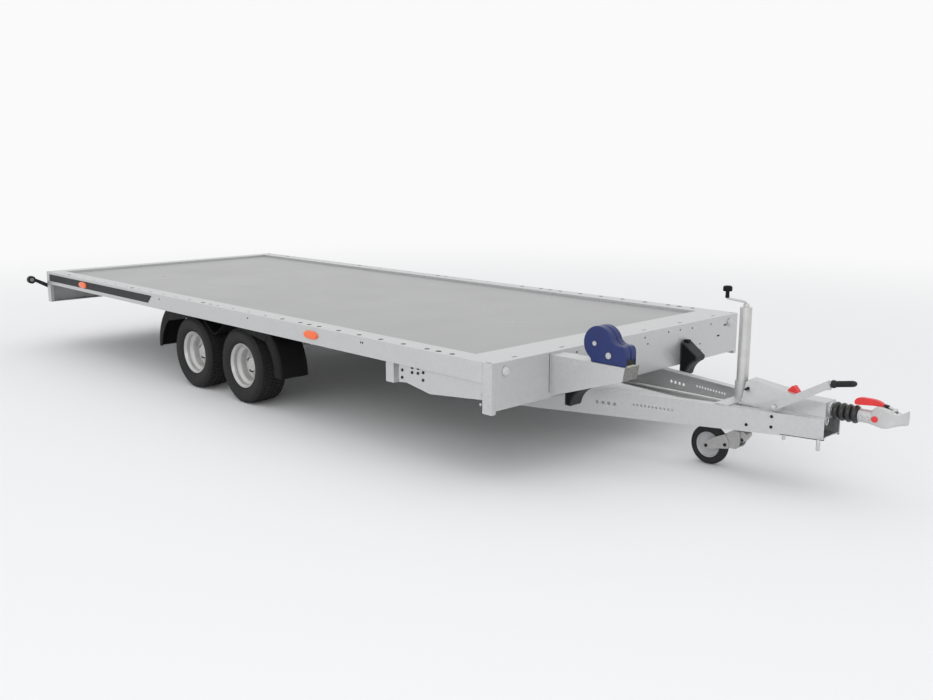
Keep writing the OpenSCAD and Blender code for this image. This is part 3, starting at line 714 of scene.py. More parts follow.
def rolled(name: str, bm: Shape, finish: Finish, *nodes: str, body: str = TRAILER) -> Piece:
    """Makes a smooth, turned piece and puts it on its body.

    Args:
        name: The piece's name.
        bm: Its mesh, which is used up.
        finish: Its finish.
        nodes: Names of the solids that it stands for.
        body: The body that it rides on.

    Returns:
        The piece.
    """
    return settled(smoothed(made(name, bm, finish)), body, finish, *nodes)


def dressed(node: str, finish: Finish, width: float = 1.5, segments: int = 2, body: str = TRAILER) -> Piece:
    """A merged copy of a solid with rounded edges, in place of the solid.

    Args:
        node: The solid's name.
        finish: Its finish.
        width: Width of the rounding in millimetres.
        segments: Number of steps across it.
        body: The body that it rides on.

    Returns:
        The piece.
    """
    bm = bmesh.new()
    bm.from_mesh(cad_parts[node].data)
    bmesh.ops.remove_doubles(bm, verts=bm.verts, dist=1e-5)
    bmesh.ops.dissolve_limit(bm, angle_limit=math.radians(1), verts=bm.verts, edges=bm.edges)
    piece = made(node + "_dressed", bm, finish)
    kept = piece.data.attributes.get("custom_normal")
    if kept:
        piece.data.attributes.remove(kept)
    return settled(bevelled(piece, width, segments), body, finish, node)


# Geometry Nodes


class Growth(Graph):
    """A Geometry Nodes tree made in code, with named inputs for its sizes."""

    def __init__(self, name: str, **sizes: str) -> None:
        """Starts a tree.

        Args:
            name: The tree's name.
            sizes: Its inputs' names and socket types.
        """
        super().__init__(bpy.data.node_groups.new(name, "GeometryNodeTree"))
        face = self.tree.interface
        for size, kind in {"Geometry": "Geometry", **sizes, "Finish": "Material"}.items():
            face.new_socket(size, in_out="INPUT", socket_type="NodeSocket" + kind)
        face.new_socket("Geometry", in_out="OUTPUT", socket_type="NodeSocketGeometry")
        self.source = self.add("NodeGroupInput", {}).outputs

    def along(self, **lengths: object) -> Socket:
        """A vector from values for its X, Y or Z."""
        return self.first("ShaderNodeCombineXYZ", lengths)

    def lifted(self, geometry: Socket, rise: object) -> Socket:
        """Lifts a geometry along Z."""
        return self.first("GeometryNodeTransform", {"Geometry": geometry, "Translation": self.along(Z=rise)})

    def close(self, geometry: Socket) -> None:
        """Ends the tree in real geometry with a material.

        Args:
            geometry: What the tree has made.
        """
        real = self.first("GeometryNodeRealizeInstances", {"Geometry": geometry})
        coat = self.first("GeometryNodeSetMaterial", {"Geometry": real, "Material": self.source["Finish"]})
        self.add("NodeGroupOutput", {0: coat})

    def grown(self, name: str, seed: bpy.types.Mesh, finish: Finish, **sizes: object) -> Piece:
        """Runs the tree on a seed mesh.

        Args:
            name: The piece's name.
            seed: The mesh that it starts from.
            finish: Its finish.
            sizes: Values for the tree's inputs.

        Returns:
            The piece, as a plain mesh at the origin.
        """
        piece = linked(name, seed)
        growth = piece.modifiers.new(name, "NODES")
        growth.node_group = self.tree
        ids = {i.name: i.identifier for i in self.tree.interface.items_tree if i.in_out == "INPUT"}
        for size, value in {**sizes, "Finish": finish.material()}.items():
            growth[ids[size]] = value
        return applied(piece)


def bolt_growth() -> Growth:
    """Plans a hexagon bolt on a washer at every point, along the point's facing.

    Returns:
        The tree.
    """
    g = Growth("bolts_on_points", Radius="Float", Height="Float", Washer="Float", Seat="Float")
    seat, height, radius = g.source["Seat"], g.source["Height"], g.source["Radius"]
    washer = g.first("GeometryNodeMeshCylinder", {"Vertices": 16, "Radius": g.source["Washer"],
                                                  "Depth": seat})
    head = g.first("GeometryNodeMeshCylinder", {"Vertices": 6, "Radius": radius, "Depth": height})
    crown = g.first("GeometryNodeMeshCone", {
        "Vertices": 6, "Radius Top": g.maths("MULTIPLY", radius, 0.78), "Radius Bottom": radius,
        "Depth": g.maths("MULTIPLY", height, 0.25)})
    middle = g.maths("ADD", seat, g.maths("MULTIPLY", height, 0.5))
    bolt = g.first("GeometryNodeJoinGeometry", {0: [
        g.lifted(washer, g.maths("MULTIPLY", seat, 0.5)), g.lifted(head, middle),
        g.lifted(crown, g.maths("ADD", seat, height))]})
    facing = g.first("GeometryNodeInputNamedAttribute", {"Name": "facing"}, data_type="FLOAT_VECTOR")
    turn = g.first("FunctionNodeAlignRotationToVector", {"Vector": facing}, axis="Z")
    g.close(g.first("GeometryNodeInstanceOnPoints", {"Points": g.source["Geometry"], "Instance": bolt,
                                                     "Rotation": turn}))
    return g


def ring_growth() -> Growth:
    """Plans blocks set in a ring about an axis along Y.

    Returns:
        The tree.
    """
    g = Growth("blocks_in_a_ring", Count="Int", Radius="Float", Size="Vector", Centre="Vector", Phase="Float",
               Skew="Float")
    count = g.source["Count"]
    cube = g.first("GeometryNodeMeshCube", {"Size": g.source["Size"]})
    brick = g.first("GeometryNodeTransform", {"Geometry": cube, "Rotation": g.along(X=g.source["Skew"])})
    ring = g.first("GeometryNodeMeshCircle", {"Vertices": count, "Radius": g.source["Radius"]})
    step = g.maths("DIVIDE", 2 * math.pi, count)
    turn = g.maths("MULTIPLY", g.first("GeometryNodeInputIndex", {}), step)
    spread = g.first("GeometryNodeInstanceOnPoints", {"Points": ring, "Instance": brick,
                                                      "Rotation": g.along(Z=turn)})
    turned = g.first("GeometryNodeTransform", {"Geometry": spread, "Rotation": g.along(Z=g.source["Phase"])})
    g.close(g.first("GeometryNodeTransform", {"Geometry": turned, "Rotation": (math.pi / 2, 0, 0),
                                              "Translation": g.source["Centre"]}))
    return g


def rod_growth() -> Growth:
    """Plans a round rod along the seed's line of edges.

    Returns:
        The tree.
    """
    g = Growth("rod_on_a_line", Radius="Float", Sides="Int")
    line = g.first("GeometryNodeMeshToCurve", {"Mesh": g.source["Geometry"]})
    ring = g.first("GeometryNodeCurvePrimitiveCircle", {"Resolution": g.source["Sides"],
                                                        "Radius": g.source["Radius"]})
    g.close(g.first("GeometryNodeCurveToMesh", {"Curve": line, "Profile Curve": ring, "Fill Caps": True}))
    return g


BOLTS, RINGS, RODS = bolt_growth(), ring_growth(), rod_growth()


def both(way: Place, places: Iterable[Place]) -> Fixings:
    """Fixings on one side of the trailer, and the same mirrored to the other.

    Args:
        way: The direction that they face on the first side.
        places: Their places there, in millimetres.

    Returns:
        All of them.
    """
    near = [(place, way) for place in places]
    return near + [((x, -y, z), (way[0], -way[1], way[2])) for (x, y, z), _ in near]


def bolts(name: str, finish: Finish, places: Fixings, radius: float, height: float, washer: float,
          seat: float, body: str = TRAILER) -> Piece:
    """Bolts with washers at places on a body.

    Args:
        name: The piece's name.
        finish: Their finish.
        places: Each bolt's seat in millimetres, and the direction it faces.
        radius: Radius of a head over its corners.
        height: Height of a head.
        washer: Radius of a washer.
        seat: Thickness of a washer.
        body: The body that they ride on.

    Returns:
        The piece.
    """
    seed = bpy.data.meshes.new(name)
    seed.from_pydata([at(*place) for place, _ in places], [], [])
    facing = seed.attributes.new("facing", "FLOAT_VECTOR", "POINT")
    for datum, (_, way) in zip(facing.data, places):
        datum.vector = way
    piece = BOLTS.grown(name, seed, finish, Radius=radius * MM, Height=height * MM, Washer=washer * MM,
                        Seat=seat * MM)
    return settled(smoothed(piece, 30), body, finish)


def rod(name: str, finish: Finish, path: Sequence[Place], radius: float, *nodes: str, body: str = TRAILER,
        steps: int = 6) -> Piece:
    """A bent round rod.

    Args:
        name: The piece's name.
        finish: Its finish.
        path: Corners of its middle line in millimetres.
        radius: Its radius.
        nodes: Names of the solids that it stands for.
        body: The body that it rides on.
        steps: Number of steps in each rounded corner.

    Returns:
        The piece.
    """
    points = [at(*p) for p in path]
    line = [points[0]]
    for before, corner, after in zip(points, points[1:], points[2:]):
        reach = min(radius * 3 * MM, *((p - corner).length * CORNER_SHARE for p in (before, after)))
        line += bend(before, corner, after, reach, steps)
    line.append(points[-1])
    seed = bpy.data.meshes.new(name)
    seed.from_pydata(line, [(i, i + 1) for i in range(len(line) - 1)], [])
    piece = RODS.grown(name, seed, finish, Radius=radius * MM, Sides=20)
    return settled(smoothed(piece), body, finish, *nodes)


# Sub-assemblies


@dataclass
class Bed:
    """The bed: rails, beams, posts, deck and what is fixed to them."""

    length: float = 5000
    half_width: float = 1050
    rail_top: float = 585
    web: float = 4
    set_back: float = 6
    plate_t: float = 5
    slot_shade_y: float = 958
    slot_shade_half: float = 42
    film: float = 0.8
    stripe_low: float = 513
    stripe_high: float = 567
    stripe_start: float = -3225
    stripe_slant: float = 58
    frame_nodes: tuple[str, ...] = ("side_rail_left", "side_rail_right", "front_beam", "rear_beam",
                                    "corner_posts", "cross_members", "chassis_rails")
    corner_bolts: tuple[Place, ...] = ((-556, 103, 0), (-512, 100, 0), (-557, 128, 0), (-513, 125, 0),
                                       (-475, 116, 0), (-476, 154, 0), (-636, 128, 4), (-637, 166, 4))
    lash_xs: tuple[float, ...] = (-392, -1448, -2600, -3580, -4640)
    plate_holes: tuple[tuple[float, float], ...] = ((119, 555), (147, 518), (337, 559), (448, 557),
                                                    (569, 552), (655, 451), (658, 415), (760, 552))
    plate_slots: tuple[tuple[float, float], ...] = ((843, 474), (912, 529))

    def build(self) -> None:
        """Builds and dresses the bed."""
        for node in self.frame_nodes:
            dressed(node, GALVANISED)
        dressed("deck_panel", DECK, 1.0)
        self.corners()
        self.carrier()
        self.liners()
        self.stripes()
        self.fasteners()
        self.front_plate()

    def corners(self) -> None:
        """Cuts the plates behind the front posts: a deep one, a tab with two bolts and one set far back."""
        plate = [(-60, 520), (-60, 405), (-429, 369), (-595, 397), (-595, 520)]
        tab = [(-588, 500), (-588, 399), (-662, 391), (-662, 500)]
        rear = [(-650, 490), (-650, 394), (-707, 386), (-707, 490)]
        face = self.half_width - self.web - self.set_back
        parts = [prism(outline, Axis.Y, side.value * y, side.value * (y - self.plate_t)) for side in Side
                 for outline, y in ((plate, face), (tab, face - 4), (rear, face - 34))]
        edged("corner_plates", joined(parts), GALVANISED, 1.5, "corner_gussets")

    def carrier(self) -> None:
        """Folds the drawbar's channel: open to the rear, and closed at its ends, which rise a little."""
        ends = [(-1037, 486), (-1037, 379), (-900, 379), (-720, 360),
                (720, 360), (900, 379), (1037, 379), (1037, 486)]
        hollow = [(-1032, 482), (-1032, 383), (-900, 383), (-720, 364),
                  (720, 364), (900, 383), (1032, 383), (1032, 482)]
        piece = made("carrier_channel", prism(ends, Axis.X, -764, -704), GALVANISED)
        cut(piece, prism(hollow, Axis.X, -766, -708))
        settled(bevelled(piece, 1.5), TRAILER, GALVANISED, "drawbar_carrier")

    def liners(self) -> None:
        """Closes the rails and the front beam from below with black strips, painted shade, so that their
        slots look into a dark hollow.
        """
        low, high = self.rail_top - 42, self.rail_top - 40
        strips = [block((-self.length + 90, s * self.slot_shade_y - self.slot_shade_half, low),
                        (-90, s * self.slot_shade_y + self.slot_shade_half, high)) for s in SIDES]
        strips.append(block((-78, -940, low), (-6, 940, high)))
        # Black strips under the slots: painted shade inside the rails and the front beam.
        edged("rail_liners", joined(strips), BLACK, 0.5, segments=1)

    def stripes(self) -> None:
        """Lays the dark film stripes on the rails' rear halves."""
        rear, low, high = -self.length + 55, self.stripe_low, self.stripe_high
        outline = [(rear, low), (self.stripe_start - self.stripe_slant, low), (self.stripe_start, high),
                   (rear, high)]
        for side in Side:
            y = side.value * self.half_width
            film = prism(outline, Axis.Y, y, y + side.value * self.film)
            edged(f"stripe_{side.name.lower()}", film, CHARCOAL, 0.25, segments=1)

    def fasteners(self) -> None:
        """Sets the bolts of the corner plates, the rivets of posts and rails, and flat dark discs as painted
        shade in the rails' holes.
        """
        skin = -self.half_width
        face = skin + self.web
        corner = [(x, face + inset + self.set_back, self.rail_top - drop)
                  for x, drop, inset in self.corner_bolts]
        bolts("corner_plate_bolts", CHARCOAL, both(OUT, corner), 6.5, 4, 8, 1.5)
        post = [(x, skin, z) for z in (430, 385) for x in (-25, -70)]
        bolts("post_rivets", ZINC, both(OUT, post), 5, 2, 7, 1)
        rivets = [(x, skin, 556) for x in (-933, -949, -2027, -3119)]
        bolts("rail_rivets", CHARCOAL, both(OUT, rivets), 4, 1.6, 5, 0.8)
        rows = [-294 - 177 * i for i in range(9)] + list(self.lash_xs)
        flange = [(x, skin + 33, self.rail_top) for x in rows]
        # Flat dark discs on the flange's holes: painted shade in the holes.
        bolts("rail_hole_plugs", CHARCOAL, both(UP, flange), 3, 0.2, 14, 0.3)

    def front_plate(self) -> None:
        """Marks the front plate's seam, and paints shade into its slots and holes as dark films and discs."""
        seam = block((0, -654.5, 388), (self.film, -651.5, 580))
        edged("front_plate_seam", seam, CHARCOAL, 0.2, segments=1)
        # Black films in the slots: painted shade.
        slots = joined(block((0, y - 14, z - 4), (self.film, y + 14, z + 4)) for y, z in self.plate_slots)
        edged("front_plate_slots", slots, BLACK, 0.2, segments=1)
        # Black discs on the holes: painted shade.
        holes = both(AHEAD, [(0, -y, z) for y, z in self.plate_holes])
        bolts("front_plate_plugs", BLACK, [h for h in holes if h[0][1] > -540], 3.5, 1, 5, 0.6)


@dataclass
class Drawbar:
    """The two converging beams and what is fixed to them."""

    tip_x: float = 1117
    tip_y: float = 80
    angle: float = 13
    low: float = 266
    edge_x: float = 930
    web_bolts: tuple[tuple[float, float], ...] = ((779, 285), (890, 340), (890, 291))
    web_rivets: tuple[tuple[float, float], ...] = ((778, 334), (440, 322), (330, 330), (892, 316))
    pegs_under: tuple[tuple[float, float, float, float], ...] = ((939, 265, 8, 30), (1105, 268, 9, 50))

    def beam_y(self, x: float) -> float:
        """Half width between the beams' outer faces at x."""
        return self.tip_y + (self.tip_x - x) * math.tan(math.radians(self.angle))

    def build(self) -> None:
        """Builds and dresses the beams."""
        for node in ("drawbar_left", "drawbar_right"):
            dressed(node, GALVANISED, 2.5, 3)
        turn = math.radians(self.angle)
        facing = (math.sin(turn), -math.cos(turn), 0)
        dark, bright = ([(x, -self.beam_y(x), z) for x, z in row]
                        for row in (self.web_bolts, self.web_rivets))
        bolts("drawbar_bolts", RUBBER, both(facing, dark), 6, 4, 7.5, 1.5)
        bolts("drawbar_rivets", ZINC, both(facing, bright), 4.5, 1.5, 6, 1)
        self.tip()
        self.pegs()
        self.edges()

    def tip(self) -> None:
        """Closes the beams' open tip with a floor plate, darker as painted shade, a bulkhead and an eye."""
        floor = prism([(960, -70), (1110, -62), (1110, 62), (960, 70)], Axis.Z, 268, 272)
        # The floor plate's darker galvanised is painted shade inside the beams.
        edged("tip_floor", floor, GALVANISED_SHADED, 1)
        edged("tip_bulkhead", block((1040, -72, 273), (1044, 72, 354)), BLACK, 1)
        eye = [(-42, 352), (-42, 334), (-30, 322), (-18, 334), (-18, 352)]
        rod("tip_eye", ZINC, [(1104, y, z) for y, z in eye], 4)

    def pegs(self) -> None:
        """Hangs the pegs under the right beam."""
        pegs = joined(lathe(rounded([(0, 0), (r, 0), (r, -h), (0, -h)], 2, 2, False), at(x, -100, z), Axis.Z,
                            24, False) for x, z, r, h in self.pegs_under)
        rolled("drawbar_pegs", pegs, ZINC)

    def edges(self) -> None:
        """Lays a dark strip under the front end of each beam: painted shade along its lower edge, in rubber
        black.
        """
        corners = ((self.edge_x, 0), (self.tip_x, 0), (self.tip_x, 12), (self.edge_x, 12))
        strips = [prism([(x, side.value * (self.beam_y(x) - inset)) for x, inset in corners], Axis.Z,
                        self.low - 5, self.low) for side in Side]
        # A dark strip under each beam: painted shade.
        edged("beam_edges", joined(strips), RUBBER, 1, segments=1)


@dataclass
class OverrunCoupling:
    """The overrun unit: cover, bellows, drawtube, head and its red handle."""

    tow_z: float = 390
    ball_x: float = 1360
    sleeve_x: float = 1239
    bellows_x: float = 1121
    bellows_l: float = 116
    bellows_r: float = 41
    bellows_valley: float = 29.5
    bellows_bore: float = 28.2
    folds: int = 4
    keep: float = 0.24
    sections: tuple[tuple[float, float, float, float], ...] = (
        (-66, 26, -27, 24), (-58, 27, -28, 40), (-46, 28, -30, 51), (-31, 28.5, -33, 59), (-9, 29, -37, 57),
        (10, 28.5, -34, 53), (30, 22, -25, 47), (46, 17, -19, 41), (60, 15, -14, 38), (76, 16, -10, 47),
        (87, 17, -8, 54))

    def build(self) -> None:
        """Builds and dresses the coupling."""
        dressed("overrun_housing", GALVANISED, 3, 3)
        dressed("drawtube", ZINC, body="overrun_head")
        self.head()
        self.bellows()
        self.handle()
        self.cap()
        self.buttons()

    def by_ball(self, outline: Outline) -> Points:
        """An outline that is drawn from the ball's middle, in its place."""
        return shifted(outline, self.ball_x, self.tow_z)

    def head(self) -> None:
        """Casts the head, with a ball socket below and a slot for the handle above, and turns its sleeve."""
        x, z = self.ball_x, self.tow_z
        rings = []
        for dx, half, low, high in self.sections:
            ring = rounded([(-half, low), (half, low), (half, high), (-half, high)], 11)
            rings.append([at(x + dx, y, z + h) for y, h in ring])
        piece = made("head_casting", loft(rings), CAST)
        socket = [(0, -50), (25.5, -50), (25.5, 2), (16, 14), (0, 18)]
        cut(piece, lathe(socket, at(x, 0, z), Axis.Z, 48, False))
        cut(piece, block((x - 70, -15, z + 28), (x + 46, 15, z + 90)))
        settled(bevelled(piece, 1.5, 2, 40), "overrun_head", CAST, "coupling_head")
        sleeve = rounded([(25.3, 0), (30, 0), (30, 62), (25.3, 62)], 1.5, 2)
        rolled("head_sleeve", lathe(sleeve, at(self.sleeve_x, 0, z), Axis.X, 48), CAST, body="overrun_head")
        pin = rounded([(0, -24), (6, -24), (6, 24), (0, 24)], 1, 1, False)
        rolled("handle_pin", lathe(pin, at(x + 28, 0, z + 46), Axis.Y, 24, False), ZINC, body="overrun_head")

    def bellows(self) -> None:
        """Turns the rubber bellows."""
        start = at(self.bellows_x, 0, self.tow_z)
        steps = self.folds * 16
        profile = []
        for i in range(steps + 1):
            share = i / steps
            swell = abs(math.sin(math.pi * self.folds * share)) ** 0.75
            radius = self.bellows_valley + (self.bellows_r - self.bellows_valley) * swell
            profile.append((radius, share * self.bellows_l))
        profile += [(self.bellows_bore, self.bellows_l), (self.bellows_bore, 0)]
        piece = rolled("bellows_folds", lathe(profile, start, Axis.X, 56), BELLOWS, "bellows")
        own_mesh(piece)

    def handle(self) -> None:
        """Makes the red grip of the coupling handle, its steel neck and its rubber pad."""
        grip = self.by_ball([(-14, 54), (-13, 62), (-22, 70), (-36, 77), (-56, 81), (-80, 82), (-119, 81),
                             (-138, 75), (-147, 60), (-143, 46), (-130, 46), (-97, 50), (-59, 54), (-28, 55)])
        edged("handle_grip", prism(rounded(grip, 7), Axis.Y, -11, 11), RED, 5, "coupling_handle",
              body="coupling_grab", segments=4)
        neck = self.by_ball([(-30, 58), (-26, 67), (-5, 64), (12, 59), (30, 54), (37, 46), (33, 38), (23, 38),
                             (6, 47), (-12, 56)])
        edged("handle_neck", prism(rounded(neck, 5), Axis.Y, -8, 8), ZINC, 2, body="coupling_grab")
        pad = self.by_ball([(-20, 52), (-17, 67), (2, 65), (8, 57), (4, 48)])
        edged("handle_pad", prism(pad, Axis.Y, -9.5, 9.5), RUBBER, 1.5, body="coupling_grab")

    def cap(self) -> None:
        """Sets the red wedge on the cover and the dark stud at its rear."""
        wedge = [(897, 436), (952, 430), (950, 446), (930, 470), (920, 470), (900, 448)]
        edged("cover_wedge", prism(rounded(wedge, 4), Axis.Y, -16, 16), RED, 4, segments=3)
        bolts("cover_stud", RUBBER, [((715, -45, 427), OUT)], 7, 18, 9, 4)

    def buttons(self) -> None:
        """Sets the red buttons and the bolts on the head."""
        knob = rounded([(0, 9), (11, 9), (14, 4), (14, 0), (0, 0)], 2.5, 3, False)
        pair = joined(lathe([(r, s * h) for r, h in knob], at(self.ball_x - 43, s * 28, self.tow_z), Axis.Y,
                            32, False) for s in SIDES)
        rolled("wear_buttons", pair, RED, body="overrun_head")
        sleeve = [(x, -29, self.tow_z - 2) for x in (1256, 1286)]
        bolts("sleeve_bolts", ZINC, both(OUT, sleeve), 8, 6, 10, 2, "overrun_head")


@dataclass
class Handbrake:
    """The handbrake lever, its ribbed grip and the pull rod."""

    pivot: Place = (900, -120.1, 389)
    angle: float = 30
    grip_angle: float = 10
    length: float = 290
    start: float = 14
    grip: float = 104
    radius: float = 14
    bore: float = 7.4
    ribs: int = 9

    def build(self) -> None:
        """Builds and dresses the handbrake."""
        dressed("handbrake_lever", GALVANISED, body="handbrake")
        dressed("brake_rod", ZINC, 1)
        self.hand_grip()
        x, y, z = self.pivot
        bolts("lever_bolt", ZINC, [((x, y - 21, z), OUT)], 7, 4, 9, 1.5)
        knuckle = rounded([(0, -9), (10, -9), (10, 9), (0, 9)], 3, 3, False)
        rolled("lever_knuckle", lathe(knuckle, self.on_lever(self.length - 12, 13), Axis.Y, 28, False), ZINC,
               body="handbrake")

    def on_lever(self, along: float, below: float) -> Vector:
        """A place along the lever from its pivot, and below its middle line.

        Args:
            along: Distance from the pivot.
            below: Distance square to the lever.

        Returns:
            The place in the frame.
        """
        x, y, z = self.pivot
        lean = math.radians(self.angle)
        return at(x + along * math.cos(lean) + below * math.sin(lean), y,
                  z + along * math.sin(lean) - below * math.cos(lean))

    def hand_grip(self) -> None:
        """Turns the rubber grip, with a collar and finger ribs, and lays it on the lever."""
        radius, length = self.radius, self.grip
        profile = [(self.bore, -6), (radius + 2, -6), (radius + 4, -2), (radius + 3, 8), (radius - 1, 14)]
        step = (length - 32) / self.ribs
        for i in range(self.ribs):
            low = 16 + i * step
            profile += [(radius - 2, low), (radius, low + step * 0.3), (radius, low + step * 0.7)]
        profile += [(radius - 1, length - 14), (radius - 3, length - 5), (radius - 8, length), (0, length),
                    (0, 55), (self.bore, 54)]
        bm = lathe(profile, Vector(), Axis.X, 40, False)
        turn = Matrix.Rotation(-math.radians(self.grip_angle), 4, "Y")
        shift = (Matrix.Translation(self.on_lever(self.length, 0)) @ turn
                 @ Matrix.Translation((self.start * MM, 0, 0)))
        bmesh.ops.transform(bm, matrix=shift, verts=bm.verts)
        rolled("grip_ribbed", bm, RUBBER, "handbrake_grip", body="handbrake")


@dataclass
class JockeyWheel:
    """The jockey wheel: clamp, tube, leg, fork, wheel and crank."""

    x: float = 656
    trail: float = 160
    wheel_r: float = 100
    wheel_w: float = 46
    wall: float = 35
    top: float = 805
    rod_r: float = 5.6
    plate_y: float = 27
    plate_t: float = 5
    arm_t: float = 4
    arm_gap: float = 0.3
    eye_r: float = 21
    knuckle: tuple[float, float] = (601, 124)

    @property
    def hub(self) -> tuple[float, float]:
        """The wheel's middle in (x, z)."""
        return self.x - self.trail, self.wheel_r

    def build(self) -> None:
        """Builds and dresses the jockey wheel."""
        dressed("jockey_clamp", GALVANISED)
        dressed("jockey_tube", ZINC)
        dressed("jockey_leg", ZINC, body="jockey_leg")
        self.foot()
        self.arms()
        self.wheel()
        self.handle()

    def foot(self) -> None:
        """Folds the fork's foot under the leg, with a dark block as painted shade in its hook's recess."""
        inner, outer = self.plate_y, self.plate_y + self.plate_t
        cheek = rounded([(598, 112), (594, 172), (611, 187), (637, 203), (676, 203), (679, 140), (662, 114),
                         (640, 112)], 8)
        parts = [prism(cheek, Axis.Y, s * inner, s * outer) for s in SIDES]
        roof = [(606, 181), (637, 203), (676, 203), (676, 197), (639, 197), (610, 176)]
        parts.append(prism(roof, Axis.Y, -inner, inner))
        parts.append(block((622, -inner, 118), (664, inner, 124)))
        hook = [(672, 203), (696, 206), (711, 194), (708, 178), (686, 150), (672, 158)]
        parts.append(prism(rounded(hook, 5), Axis.Y, -inner, inner))
        edged("fork_foot", joined(parts), GALVANISED_DARK, 1.5, "jockey_fork", body="jockey_swivel")
        # A dark block in the hook: painted shade in its recess.
        recess = prism([(678, 164), (687, 152), (697, 164), (686, 176)], Axis.Y, -inner - 0.6, inner + 0.6)
        edged("fork_recess", recess, RUBBER, 0.4, body="jockey_swivel", segments=1)

    def arms(self) -> None:
        """Makes the fork's two arms to the axle, the axle and the dark bolts."""
        x, z = self.hub
        inner = self.plate_y + self.plate_t + self.arm_gap
        outer = inner + self.arm_t
        tail = [(x, z - self.eye_r), (566, 98), (620, 108), (622, 140), (601, 178), (548, 154), (x, 124)]
        arm = arc(x, z, self.eye_r, range(110, 291, 15)) + rounded(tail, 6, 3, False)[1:-1]
        arms = joined(prism(arm, Axis.Y, s * inner, s * outer) for s in SIDES)
        edged("fork_arms", arms, GALVANISED_DARK, 1.2, body="jockey_swivel")
        pin = rounded([(0, -37), (8, -37), (8, 37), (0, 37)], 1, 1, False)
        rolled("jockey_axle", lathe(pin, at(x, 0, z), Axis.Y, 24, False), ZINC, body="jockey_swivel")
        ends = [(px, -outer, pz) for px, pz in (self.hub, self.knuckle)]
        bolts("fork_bolts", RUBBER, both(OUT, ends), 7, 5, 9, 1.2, "jockey_swivel")

    def wheel(self) -> None:
        """Turns the small wheel: a pressed disc and a thick tyre."""
        x, z = self.hub
        rim, half, radius = self.wheel_r - self.wall, self.wheel_w / 2, self.wheel_r
        face = [(8.1, 19), (18, 19), (20, 16), (24, 9), (44, 6), (54, 8), (60, 17), (rim - 1, 19.2),
                (rim, 18)]
        disc = face + [(r, -h) for r, h in reversed(face)]
        rolled("jockey_wheel_disc", lathe(disc, at(x, 0, z), Axis.Y, 56), GREY, "jockey_disc",
               body="jockey_roller")
        tread = rounded([(rim, -half + 2), (rim + 8, -half), (radius - 10, -half), (radius, -half + 10),
                         (radius, half - 10), (radius - 10, half), (rim + 8, half), (rim, half - 2)], 5, 3)
        rolled("jockey_wheel_tyre", lathe(tread, at(x, 0, z), Axis.Y, 64), TYRE, "jockey_tyre",
               body="jockey_roller")

    def handle(self) -> None:
        """Bends the crank rod and sets its mushroom knob."""
        low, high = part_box("jockey_knob")
        knob = (low + high) / 2
        x, y = (knob.x - BED_FRONT) / MM, knob.y / MM
        z, top = low.z / MM, high.z / MM
        path = [(self.x, 0, self.top - 6), (self.x, 0, self.top + 24), (x, y, z - 1), (x, y, z + 10)]
        rod("crank_rod", ZINC, path, self.rod_r, "jockey_crank", body="jockey_handle", steps=8)
        height = top - z
        shape = rounded([(5, 0), (10, 1), (8.5, height - 27), (21.5, height - 25), (21.8, height - 6),
                         (17, height), (0, height)], 4, 4, False)
        rolled("crank_knob", lathe(shape, at(x, y, z), Axis.Z, 36, False), BLACK, "jockey_knob",
               body="jockey_handle")


